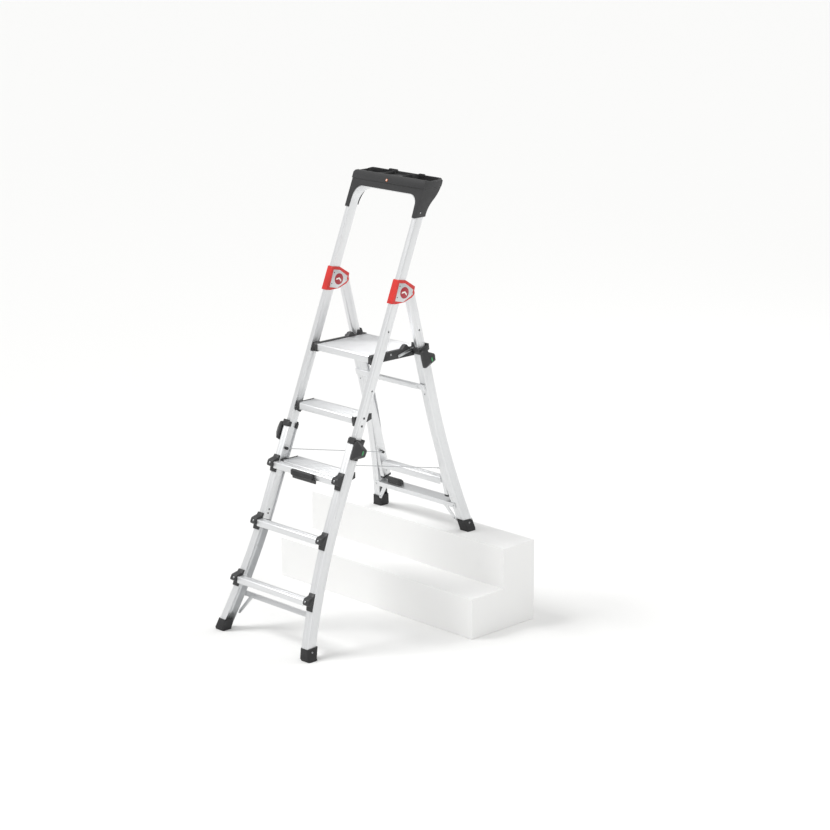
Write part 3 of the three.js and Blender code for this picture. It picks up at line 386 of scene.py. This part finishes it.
def cleaned(node, change=None):
    """A merged copy of a CAD node's mesh with its flat faces whole; change may edit it."""
    work = bmesh.new()
    work.from_mesh(frame["nodes"][node].data)
    bmesh.ops.remove_doubles(work, verts=work.verts, dist=2e-6)
    bmesh.ops.dissolve_limit(
        work, angle_limit=math.radians(0.6), verts=work.verts, edges=work.edges,
        use_dissolve_boundaries=False)
    if change:
        change(work)
    bmesh.ops.recalc_face_normals(work, faces=work.faces)
    mesh = bpy.data.meshes.new(node)
    work.to_mesh(mesh)
    work.free()
    return mesh


def finished(node, finish, width, segments=3, change=None, angle=28.0):
    """The finished piece that stands for one CAD node."""
    mesh = rounded(cleaned(node, change), width, segments, angle)
    made = place(mesh, node + "_finished", finish, body_holding(node))
    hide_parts(node)
    return made


def both(name):
    return (name + "_R", name + "_L")


def slab(outline, normal, thick):
    """A closed plate: outline is a loop of points, thickened along normal."""
    work = bmesh.new()
    low = [work.verts.new(p) for p in outline]
    high = [work.verts.new(Vector(p) + normal * thick) for p in outline]
    work.faces.new(low)
    work.faces.new(list(reversed(high)))
    for i in range(len(low)):
        j = (i + 1) % len(low)
        work.faces.new((low[j], low[i], high[i], high[j]))
    bmesh.ops.recalc_face_normals(work, faces=work.faces)
    mesh = bpy.data.meshes.new("slab")
    work.to_mesh(mesh)
    work.free()
    return mesh


# ---------------------------------------------------------------- geometry node trees
def new_tree(name, inputs):
    tree = bpy.data.node_groups.new(name, "GeometryNodeTree")
    tree.interface.new_socket("Geometry", in_out="INPUT", socket_type="NodeSocketGeometry")
    for label, kind, default in inputs:
        made = tree.interface.new_socket(label, in_out="INPUT", socket_type=kind)
        if default is not None:
            made.default_value = default
    tree.interface.new_socket("Geometry", in_out="OUTPUT", socket_type="NodeSocketGeometry")
    return tree, tree.nodes.new("NodeGroupInput").outputs


def heads_tree():
    """Fixing heads on points: a disc with a chamfered top on each, turned to the point's own axis."""
    tree, given = new_tree("fixing_heads", (
        ("Sides", "NodeSocketInt", 24), ("Radius", "NodeSocketFloat", 0.004),
        ("Height", "NodeSocketFloat", 0.0015),
        ("Material", "NodeSocketMaterial", None)))
    base = add_node(tree, "GeometryNodeMeshCylinder", {
        "Vertices": given["Sides"], "Radius": given["Radius"], "Depth": given["Height"]})
    narrow = add_node(tree, "ShaderNodeMath", {0: given["Radius"], 1: 0.72}, operation="MULTIPLY").outputs[0]
    crown_height = add_node(
        tree, "ShaderNodeMath", {0: given["Height"], 1: 0.5}, operation="MULTIPLY").outputs[0]
    crown = add_node(tree, "GeometryNodeMeshCone", {
        "Vertices": given["Sides"], "Radius Top": narrow, "Radius Bottom": given["Radius"],
        "Depth": crown_height})
    lift = add_node(tree, "ShaderNodeCombineXYZ", {"Z": crown_height}).outputs[0]
    raised = add_node(tree, "GeometryNodeTransform", {"Geometry": crown.outputs[0], "Translation": lift})
    joined = add_node(tree, "GeometryNodeJoinGeometry")
    tree.links.new(base.outputs[0], joined.inputs[0])
    tree.links.new(raised.outputs[0], joined.inputs[0])
    axis = add_node(
        tree, "GeometryNodeInputNamedAttribute", {"Name": "axis"}, data_type="FLOAT_VECTOR").outputs[0]
    size = add_node(tree, "GeometryNodeInputNamedAttribute", {"Name": "size"}, data_type="FLOAT").outputs[0]
    turn = add_node(tree, "FunctionNodeAlignRotationToVector", {"Vector": axis}, axis="Z").outputs[0]
    spots = add_node(tree, "GeometryNodeMeshToPoints", {"Mesh": given["Geometry"]})
    placed = add_node(tree, "GeometryNodeInstanceOnPoints", {
        "Points": spots.outputs[0], "Instance": joined.outputs[0], "Rotation": turn, "Scale": size})
    real = add_node(tree, "GeometryNodeRealizeInstances", {"Geometry": placed.outputs[0]})
    dressed = add_node(tree, "GeometryNodeSetMaterial", {
        "Geometry": real.outputs[0], "Material": given["Material"]})
    add_node(tree, "NodeGroupOutput", {"Geometry": dressed.outputs[0]})
    return tree


def ribs_tree():
    """A row of half-round ribs: one rod on each step of a line."""
    tree, given = new_tree("rib_row", (
        ("Count", "NodeSocketInt", 8), ("Start", "NodeSocketVector", (0, 0, 0)),
        ("Step", "NodeSocketVector", (0, 0, 0)),
        ("Radius", "NodeSocketFloat", 0.0015), ("Length", "NodeSocketFloat", 0.02),
        ("Direction", "NodeSocketVector", (0, 0, 1)), ("Material", "NodeSocketMaterial", None)))
    line = add_node(tree, "GeometryNodeMeshLine", {
        "Count": given["Count"], "Start Location": given["Start"], "Offset": given["Step"]})
    rod = add_node(tree, "GeometryNodeMeshCylinder", {
        "Vertices": 14, "Radius": given["Radius"], "Depth": given["Length"]})
    turn = add_node(
        tree, "FunctionNodeAlignRotationToVector", {"Vector": given["Direction"]}, axis="Z").outputs[0]
    placed = add_node(tree, "GeometryNodeInstanceOnPoints", {
        "Points": line.outputs[0], "Instance": rod.outputs[0], "Rotation": turn})
    real = add_node(tree, "GeometryNodeRealizeInstances", {"Geometry": placed.outputs[0]})
    dressed = add_node(tree, "GeometryNodeSetMaterial", {
        "Geometry": real.outputs[0], "Material": given["Material"]})
    add_node(tree, "NodeGroupOutput", {"Geometry": dressed.outputs[0]})
    return tree


TREES = {}


def grown(tree_name, mesh, values):
    """The mesh that a tree makes from this start mesh and these inputs."""
    if tree_name not in TREES:
        TREES[tree_name] = {"heads": heads_tree, "ribs": ribs_tree}[tree_name]()
    tree = TREES[tree_name]
    source = bpy.data.objects.new("growing", mesh)
    bpy.context.scene.collection.objects.link(source)
    modifier = source.modifiers.new("tree", "NODES")
    modifier.node_group = tree
    codes = {s.name: s.identifier for s in tree.interface.items_tree if s.in_out == "INPUT"}
    for label, value in values.items():
        modifier[codes[label]] = value
    source.update_tag()
    bpy.context.view_layer.update()
    return applied(source)


def heads(name, spots, finish, body, radius, height=1.5 * MM, sides=24):
    """Fixing heads at spots, a list of (point, axis, size)."""
    mesh = bpy.data.meshes.new(name)
    mesh.from_pydata([tuple(point) for point, _, _ in spots], [], [])
    mesh.attributes.new("axis", "FLOAT_VECTOR", "POINT")
    mesh.attributes.new("size", "FLOAT", "POINT")
    for i, (_, direction, scale) in enumerate(spots):
        mesh.attributes["axis"].data[i].vector = direction
        mesh.attributes["size"].data[i].value = scale
    made = grown("heads", mesh, {
        "Sides": sides, "Radius": radius, "Height": height, "Material": MATERIALS[finish]})
    return place(made, name, finish, body, 40.0)


def screws(name, spots, body, radius=None):
    """Plated screw heads, each with a dark six-sided disc on top: painted shade that stands for the socket's
    hollow.
    """
    size = radius or bpy.context.scene.ladder_sizes.screw_radius
    heads(name, spots, "steel", body, size)
    # The black six-sided disc laid on each head is painted shade: it stands for the shaded hollow of the
    # screw's socket.
    shade_spots = [(point + axis * 1.15 * MM, axis, scale) for point, axis, scale in spots]
    heads(name + "_socket_shade", shade_spots, "plastic", body, size * 0.48, 0.5 * MM, 6)


def ribs(name, finish, body, count, start, step, radius, length, direction):
    mesh = grown("ribs", bpy.data.meshes.new(name), {
        "Count": count, "Start": tuple(start), "Step": tuple(step), "Radius": radius, "Length": length,
        "Direction": tuple(direction), "Material": MATERIALS[finish]})
    return place(mesh, name, finish, body, 40.0)


# ---------------------------------------------------------------- one operator for each group of pieces
class LADDER_OT_rails(bpy.types.Operator):
    """Sliding rails, the handrail bow and the plugs in their open ends."""

    bl_idname = "ladder.rails"
    bl_label = "Rails and handrail"

    def execute(self, context):
        sizes = context.scene.ladder_sizes
        finished("front_bow", "alu_front", sizes.metal_edge, 2)
        for node in both("rear_rail"):
            finished(node, "alu_rear", sizes.metal_edge, 2)
        for node in both("front_rail_plug") + both("rear_rail_plug"):
            finished(node, "plastic", sizes.plastic_edge)
        for side in (1, -1):
            letter = "R" if side > 0 else "L"
            spots = [(on_front(side * (RAIL_OUTER + 0.1), 24, s), ACROSS * side, 1.0) for s in (977.5, 1011)]
            spots += [(on_front(side * (RAIL_INNER - 0.1), 22, s), -ACROSS * side, 0.8) for s in (528, 545)]
            heads("bracket_rivets_" + letter, spots, "plastic", "front_frame", sizes.rivet_radius)
            inner = [(on_rear(side * (RAIL_INNER - 0.1), 22, s), -ACROSS * side, 0.8) for s in (541, 640)]
            heads("rear_rivets_" + letter, inner, "steel", "rear_frame", sizes.rivet_radius)
        return {"FINISHED"}


class LADDER_OT_legs(bpy.types.Operator):
    """Telescopic outer legs and the collars on their upper ends."""

    bl_idname = "ladder.legs"
    bl_label = "Outer legs"

    def execute(self, context):
        sizes = context.scene.ladder_sizes
        for node in both("front_leg"):
            finished(node, "alu_front", sizes.metal_edge, 2)
        for node in both("rear_leg"):
            finished(node, "alu_rear", sizes.metal_edge, 2)
        for node in both("front_collar") + both("rear_collar"):
            finished(node, "plastic", sizes.plastic_edge)
        return {"FINISHED"}


class LADDER_OT_locks(bpy.types.Operator):
    """Lock levers with a raised rim, grip ribs and a green window."""

    bl_idname = "ladder.locks"
    bl_label = "Lock levers"

    def execute(self, context):
        sizes = context.scene.ladder_sizes
        sets = (("front_lock", on_front, FRONT_BACK, FRONT_LEG_TOP),
                ("rear_lock", on_rear, REAR_BACK, REAR_LEG_TOP_S))
        for stem, at, back, top in sets:
            up = (at(0, 0, 1) - at(0, 0, 0)).normalized()
            for side in (1, -1):
                letter = "R" if side > 0 else "L"
                node = "%s_%s" % (stem, letter)
                finished(node, "plastic", 2.2 * MM, 4)
                body = body_holding(node)
                rim = [at(side * (LOCK_FACE - 0.4), d, top + s) for d, s in
                       ((13, -12), (36, -15), (36, -33), (13, -38))]
                frame_plate = rounded(slab(rim, ACROSS * side, 1.0 * MM), 0.45 * MM, 2)
                place(frame_plate, node + "_rim", "plastic", body)
                pane = [at(side * (LOCK_FACE + 0.5), d, top + s) for d, s in
                        ((17, -15), (24, -16), (24, -33), (17, -34))]
                window = rounded(slab(pane, ACROSS * side, 0.5 * MM), 0.2 * MM, 2)
                place(window, node + "_window", "window", body)
                ribs(node + "_ribs", "plastic", body, 4, at(side * (LOCK_FACE + 0.4), 27.5, top - 19),
                     up * -4.2 * MM, 0.9 * MM, 9 * MM, back)
        return {"FINISHED"}


class LADDER_OT_treads(bpy.types.Operator):
    """Deep treads, narrow steps and all their brackets with screws."""

    bl_idname = "ladder.treads"
    bl_label = "Treads and steps"

    def execute(self, context):
        sizes = context.scene.ladder_sizes
        for node in ("upper_tread", "middle_tread", "step_1", "step_2", "step_3"):
            finished(node, "alu_across", sizes.metal_edge, 2)
        for node in both("upper_tread_bracket") + both("middle_tread_bracket"):
            finished(node, "plastic", sizes.plastic_edge)
        spots = []
        for number in (1, 2, 3):
            for node in both("step_%d_bracket" % number):
                finished(node, "plastic", 1.6 * MM, 4)
            along = front_along(TREAD_TOPS[number - 1])
            out = 196 + flare(along)
            spots += [(on_front(side * out, -36.3, along - 20), -FRONT_BACK, 1.0) for side in (1, -1)]
            for side in (1, -1):
                letter = "R" if side > 0 else "L"
                ribs("step_%d_bracket_ribs_%s" % (number, letter), "plastic", "front_legs", 3,
                     on_front(side * (out - 8), -11, along + 2), ACROSS * side * 8 * MM, 0.9 * MM, 9 * MM,
                     Vector((0, math.sin(FRONT_TILT), math.cos(FRONT_TILT))))
        screws("step_screws", spots, "front_legs")
        return {"FINISHED"}


class LADDER_OT_platform(bpy.types.Operator):
    """Platform deck, its side arms and the steel straps on them."""

    bl_idname = "ladder.platform"
    bl_label = "Platform"

    def execute(self, context):
        sizes = context.scene.ladder_sizes
        finished("platform_deck", "alu_across", sizes.metal_edge, 2)
        for node in both("platform_arm"):
            finished(node, "plastic", sizes.plastic_edge)
        for node in both("platform_strap"):
            finished(node, "steel", 0.5 * MM, 2)
        for side in (1, -1):
            letter = "R" if side > 0 else "L"
            spots = [(Vector((side * ARM_FACE, 97.5, 1157)) * MM, ACROSS * side, 1.0),
                     (Vector((side * ARM_FACE, 40, 1150)) * MM, ACROSS * side, 0.8)]
            screws("platform_screws_" + letter, spots, "platform")
            ends = [(Vector((side * 175.7, y, z)) * MM, ACROSS * side, 1.0)
                    for y, z in ((142.7, 1145), (222.7, 1164))]
            heads("strap_rivets_" + letter, ends, "steel", "platform", 3.8 * MM)
            ribs("platform_arm_ribs_" + letter, "plastic", "platform", 5,
                 Vector((side * ARM_FACE, 60, 1146)) * MM, Vector((0, 6.5, 0)) * MM,
                 0.9 * MM, 14 * MM, (0, 0, 1))
        return {"FINISHED"}


def raise_tray_band(work):
    """Steps the upper part of the tray's outside 2.6 mm outwards, which leaves a line below the rim."""
    for height in (1.8268, 1.8282):
        everything = list(work.verts) + list(work.edges) + list(work.faces)
        bmesh.ops.bisect_plane(work, geom=everything, plane_co=(0, 0, height), plane_no=(0, 0, 1), dist=1e-6)
    slope = math.tan(FRONT_TILT)
    for vert in work.verts:
        if vert.co.z < 1.8281:
            continue
        front = (FRONT_LINE_Y - 3.6) * MM + vert.co.z * slope
        if abs(vert.co.y - front) < 0.0006:
            vert.co.y -= 2.6 * MM
        if abs(vert.co.x) > 0.2088:
            vert.co.x += math.copysign(2.2 * MM, vert.co.x)
        if vert.co.y > 0.3545:
            vert.co.y += 1.0 * MM


class LADDER_OT_tray(bpy.types.Operator):
    """Tool tray over the handrail, with its stud and screws."""

    bl_idname = "ladder.tray"
    bl_label = "Tool tray"

    def execute(self, context):
        finished("tray", "plastic", 0.9 * MM, 3, raise_tray_band, 24.0)
        slope = math.tan(FRONT_TILT)
        front = Vector((-7, FRONT_LINE_Y - 6.2 + 1839 * slope, 1839)) * MM
        heads("tray_stud_ring", [(front, -FRONT_BACK, 1.0)], "amber", "front_frame", 5.6 * MM, 2 * MM)
        heads("tray_stud", [(front - FRONT_BACK * 1.2 * MM, -FRONT_BACK, 1.0)], "mark", "front_frame",
              3.2 * MM, 1.6 * MM)
        spots = [(Vector((side * 209.6, y, z)) * MM, ACROSS * side, 0.8)
                 for side in (1, -1) for y, z in ((230, 1732), (300, 1845))]
        screws("tray_screws", spots, "front_frame")
        for side in (1, -1):
            ribs("tray_ribs_" + ("R" if side > 0 else "L"), "plastic", "front_frame", 6,
                 Vector((side * 135 - 35, 350.4, 1848)) * MM, Vector((14, 0, 0)) * MM,
                 1.0 * MM, 20 * MM, (0, 0, 1))
        return {"FINISHED"}


def badge_outline(inset, x):
    """Rounded three-cornered plate on a hinge cheek, pulled in by inset."""
    centre = (44, 1546)
    corners = ((6, 1577), (40, 1584), (93, 1571), (92, 1545), (56, 1509), (10, 1502))
    points = []
    for depth, along in corners:
        reach = math.hypot(depth - centre[0], along - centre[1])
        share = (reach - inset) / reach
        points.append(on_front(
            x, centre[0] + (depth - centre[0]) * share, centre[1] + (along - centre[1]) * share))
    return points


def disc(x, side, radius, thick, centre=(49, 1547)):
    ring = [on_front(x, centre[0] + radius * math.cos(a), centre[1] + radius * math.sin(a))
            for a in (2 * math.pi * i / 48 for i in range(48))]
    return slab(ring, side, thick)


def chevron(x, side, thick):
    """Plain wide chevron in the middle of a disc."""
    shape = ((-15, -6), (0, 2), (15, -6), (15, 1), (0, 9), (-15, 1))
    return slab([on_front(x, 49 + a, 1545 + b) for a, b in shape], side, thick)


class LADDER_OT_hinges(bpy.types.Operator):
    """Red hinge housings, their pins and the plates on both cheeks."""

    bl_idname = "ladder.hinges"
    bl_label = "Main hinges"

    def execute(self, context):
        for node in both("hinge_housing"):
            finished(node, "red", 2.0 * MM, 4)
        for node in both("hinge_pin"):
            finished(node, "steel", 0.8 * MM, 3)
        for side in (1, -1):
            letter = "R" if side > 0 else "L"
            cheeks = (("outer", side * HINGE_OUTER, ACROSS * side),
                      ("inner", side * HINGE_INNER, -ACROSS * side))
            for face, x, out in cheeks:
                name = "hinge_%s_%s_" % (face, letter)
                sign = 1 if out.x > 0 else -1
                plate = rounded(slab(badge_outline(0, x), out, 0.7 * MM), 0.3 * MM, 2)
                place(plate, name + "plate", "plate", "front_frame")
                place(rounded(disc(x + sign * 0.65, out, 24, 0.4 * MM), 0.15 * MM, 2),
                      name + "disc", "disc", "front_frame")
                place(chevron(x + sign * 1.0, out, 0.15 * MM), name + "mark", "mark", "front_frame")
                spots = [(on_front(x + sign * 0.7, d, s), out, 0.75) for d, s in ((14, 1566), (16, 1519))]
                heads(name + "rivets", spots, "plastic", "front_frame", 3.4 * MM, 0.6 * MM)
        return {"FINISHED"}


class LADDER_OT_braces(bpy.types.Operator):
    """Braces, the rung and the cross bar between the legs."""

    bl_idname = "ladder.braces"
    bl_label = "Braces and rung"

    def execute(self, context):
        sizes = context.scene.ladder_sizes
        for node in ("front_brace", "rear_brace", "rear_bar"):
            finished(node, "alu_across", sizes.metal_edge, 2)
        finished("rear_rung", "alu_across", 0.8 * MM, 3)
        front_out = 177 + flare(181)
        spots = [(on_front(side * (front_out + 6), 57.9, 181), FRONT_BACK, 1.0) for side in (1, -1)]
        screws("front_brace_screws", spots, "front_legs")
        rear_out = 177 + flare(480 - REAR_FOOT_S)
        spots = [(on_rear(side * x, -6.9, s), -REAR_BACK, 1.0)
                 for side in (1, -1) for x, s in ((rear_out + 13, 480), (rear_out + 4, 418))]
        spots += [(on_rear(side * 194, -3.6, rear_along(964)), -REAR_BACK, 0.9) for side in (1, -1)]
        screws("rear_brace_screws", spots, "rear_legs")
        return {"FINISHED"}


class LADDER_OT_boots(bpy.types.Operator):
    """Rubber boots with their screws and moulded ribs."""

    bl_idname = "ladder.boots"
    bl_label = "Boots"

    def execute(self, context):
        sets = (("front_boot", "front_legs", -450.5, 35), ("rear_boot", "rear_legs", 452.6, 385))
        for stem, body, y, z in sets:
            for node in both(stem):
                finished(node, "rubber", 2.4 * MM, 4)
            spots = [(Vector((side * 280.9, y, z)) * MM, ACROSS * side, 0.9) for side in (1, -1)]
            screws(stem + "_screws", spots, body)
            for side in (1, -1):
                ribs("%s_ribs_%s" % (stem, "R" if side > 0 else "L"), "rubber", body, 4,
                     Vector((side * 281.5, y - 1, z - 26)) * MM, Vector((side * 0.2, 0, 4.2)) * MM,
                     1.1 * MM, 34 * MM,
                     (0, 1, 0))
        return {"FINISHED"}


class LADDER_OT_handles(bpy.types.Operator):
    """Release handle with grip ribs, and the transport latch."""

    bl_idname = "ladder.handles"
    bl_label = "Handle and latch"

    def execute(self, context):
        finished("release_handle", "plastic", 1.6 * MM, 4)
        low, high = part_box("release_handle")
        face = low[1] + 0.1 * MM
        ribs("release_handle_ribs", "plastic", "release_handle", 17,
             Vector((-0.045, face, 0.684)), Vector((0.0068, 0, 0)), 1.1 * MM, 18 * MM, (0, 0, 1))
        finished("transport_latch", "plastic", 1.6 * MM, 4)
        low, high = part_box("transport_latch")
        ribs("transport_latch_ribs", "plastic", "transport_latch", 9,
             Vector((low[0] + 0.008, (low[1] + high[1]) / 2 - 0.006, high[2] - 0.004)),
             Vector((0.008, 0, 0)), 0.9 * MM, 9 * MM, (0, 1, 0))
        return {"FINISHED"}


STAY_X = 175.0


def stay_path(side):
    """Points along a stay cord, from the front anchor to the rear one."""
    start = on_front(side * STAY_X, 18, 808)
    end = on_rear(side * STAY_X, 18, 635)
    along = (end - start).normalized()
    start += along * 6.6 * MM
    end -= along * 6.6 * MM
    return [start.lerp(end, i / 30) for i in range(31)], along


def tube(points, along, radius, sides=12):
    """Round tube along a straight run of points, closed at both ends."""
    work = bmesh.new()
    across = ACROSS
    other = along.cross(across).normalized()
    rings = []
    for i, point in enumerate(points):
        rings.append([work.verts.new(point + (across * math.cos(a) + other * math.sin(a)) * radius)
                      for a in (2 * math.pi * k / sides for k in range(sides))])
    for low, high in zip(rings, rings[1:]):
        for k in range(sides):
            work.faces.new((low[k], low[(k + 1) % sides], high[(k + 1) % sides], high[k]))
    work.faces.new(list(reversed(rings[0])))
    work.faces.new(rings[-1])
    bmesh.ops.recalc_face_normals(work, faces=work.faces)
    mesh = bpy.data.meshes.new("tube")
    work.to_mesh(mesh)
    work.free()
    return mesh


class LADDER_OT_stays(bpy.types.Operator):
    """Two stay cords between the front and rear rails, with their anchors and crimped sleeves."""

    bl_idname = "ladder.stays"
    bl_label = "Stay cords"

    def execute(self, context):
        for node in both("front_stay_anchor") + both("rear_stay_anchor"):
            finished(node, "plastic", 1.5 * MM, 3)
        for side in (1, -1):
            letter = "R" if side > 0 else "L"
            points, along = stay_path(side)
            cord = place(tube(points, along, 1.55 * MM), "stay_cord_%s_braid" % letter, "cord", None)
            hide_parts("stay_cord_" + letter)
            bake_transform(cord)
            for body, first, last in (("front_frame", 0.5, 14), ("rear_frame", -0.5, -14)):
                origin = points[0] if first > 0 else points[-1]
                stops = [origin + along * first * MM, origin + along * last * MM]
                sleeve = tube(stops, along, 2.4 * MM, 16)
                place(rounded(sleeve, 0.5 * MM, 3, 50), "stay_sleeve_%s_%s" % (body, letter), "steel", body)
        return {"FINISHED"}


class LADDER_OT_stage(bpy.types.Operator):
    """Pale floor, two plain stairs under the rear boots, soft lights and the camera."""

    bl_idname = "ladder.stage"
    bl_label = "Studio"

    def execute(self, context):
        scene = context.scene
        work = bmesh.new()
        bmesh.ops.create_grid(work, x_segments=8, y_segments=8, size=30)
        floor_mesh = bpy.data.meshes.new("floor")
        work.to_mesh(floor_mesh)
        work.free()
        floor_mesh.materials.append(MATERIALS["studio"])
        floor = bpy.data.objects.new("floor", floor_mesh)
        floor.location.z = -0.0004
        scene.collection.objects.link(floor)
        right, corner, rise, run = 0.5586, 0.1851, 0.175, 0.187
        profile = [(corner, 0), (corner, rise), (corner + run, rise), (corner + run, 2 * rise),
                   (corner + 2 * run, 2 * rise), (corner + 2 * run, 0)]
        stairs_mesh = rounded(
            slab([Vector((right, y, z - 0.0002)) for y, z in profile], -ACROSS, 1.181), 1.5 * MM, 3)
        stairs_mesh.materials.append(MATERIALS["studio"])
        stairs = bpy.data.objects.new("stairs", stairs_mesh)
        scene.collection.objects.link(stairs)
        world = bpy.data.worlds.new("studio")
        world.use_nodes = True
        background = world.node_tree.nodes["Background"]
        background.inputs["Color"].default_value = linear("#ffffff")
        background.inputs["Strength"].default_value = 0.66
        scene.world = world
        scene.view_settings.view_transform = "Standard"
        sun = bpy.data.lights.new("key", "SUN")
        sun.energy = 1.7
        sun.angle = math.radians(24)
        key = bpy.data.objects.new("key", sun)
        key.rotation_euler = Vector((0.62, 0.62, -1.25)).to_track_quat("-Z", "Y").to_euler()
        scene.collection.objects.link(key)
        lights = (("fill", (4.6, -2.6, 2.8), 3.0, 30), ("back", (1.5, 4.5, 3.5), 3.0, 50))
        for name, where, size, power in lights:
            data = bpy.data.lights.new(name, "AREA")
            data.shape = "DISK"
            data.size = size
            data.energy = power
            lamp = bpy.data.objects.new(name, data)
            lamp.location = where
            lamp.rotation_euler = (Vector((0, 0, 0.9)) - Vector(where)).to_track_quat("-Z", "Y").to_euler()
            scene.collection.objects.link(lamp)
        turn, lift = math.radians(45.433), math.radians(14.838)
        across = Vector((math.cos(turn), math.sin(turn), 0))
        behind = Vector((math.sin(turn) * math.cos(lift), -math.cos(turn) * math.cos(lift), math.sin(lift)))
        up = behind.cross(across)
        where = (across * -1.342 + up * 5.298 + behind * 57.874) * 0.175 + Vector((0.5586, 0.1851, 0))
        data = bpy.data.cameras.new("camera")
        data.lens = 106.476
        data.sensor_width = 36
        data.clip_end = 200
        camera = bpy.data.objects.new("camera", data)
        camera.matrix_world = Matrix.Translation(where) @ Matrix((across, up, behind)).transposed().to_4x4()
        scene.collection.objects.link(camera)
        scene.camera = camera
        return {"FINISHED"}


STEPS = (
    LADDER_OT_stage, LADDER_OT_rails, LADDER_OT_legs, LADDER_OT_locks, LADDER_OT_treads,
    LADDER_OT_platform, LADDER_OT_tray, LADDER_OT_hinges, LADDER_OT_braces, LADDER_OT_boots,
    LADDER_OT_handles, LADDER_OT_stays)


class LADDER_PT_panel(bpy.types.Panel):
    """Sidebar panel with one button for each group of pieces."""

    bl_idname = "LADDER_PT_panel"
    bl_label = "Step Ladder"
    bl_space_type = "VIEW_3D"
    bl_region_type = "UI"
    bl_category = "Ladder"

    def draw(self, context):
        for group in (context.scene.ladder_sizes, context.scene.ladder_colours):
            for name in group.__annotations__:
                self.layout.prop(group, name)
        for step in STEPS:
            self.layout.operator(step.bl_idname)


CLASSES = (LadderColours, LadderSizes) + STEPS + (LADDER_PT_panel,)


def register():
    for cls in CLASSES:
        bpy.utils.register_class(cls)
    bpy.types.Scene.ladder_colours = bpy.props.PointerProperty(type=LadderColours)
    bpy.types.Scene.ladder_sizes = bpy.props.PointerProperty(type=LadderSizes)


def unregister():
    del bpy.types.Scene.ladder_sizes
    del bpy.types.Scene.ladder_colours
    for cls in reversed(CLASSES):
        bpy.utils.unregister_class(cls)


def main():
    register()
    make_materials()
    for step in STEPS:
        group, name = step.bl_idname.split(".")
        getattr(getattr(bpy.ops, group), name)()


if __name__ == "__main__":
    main()
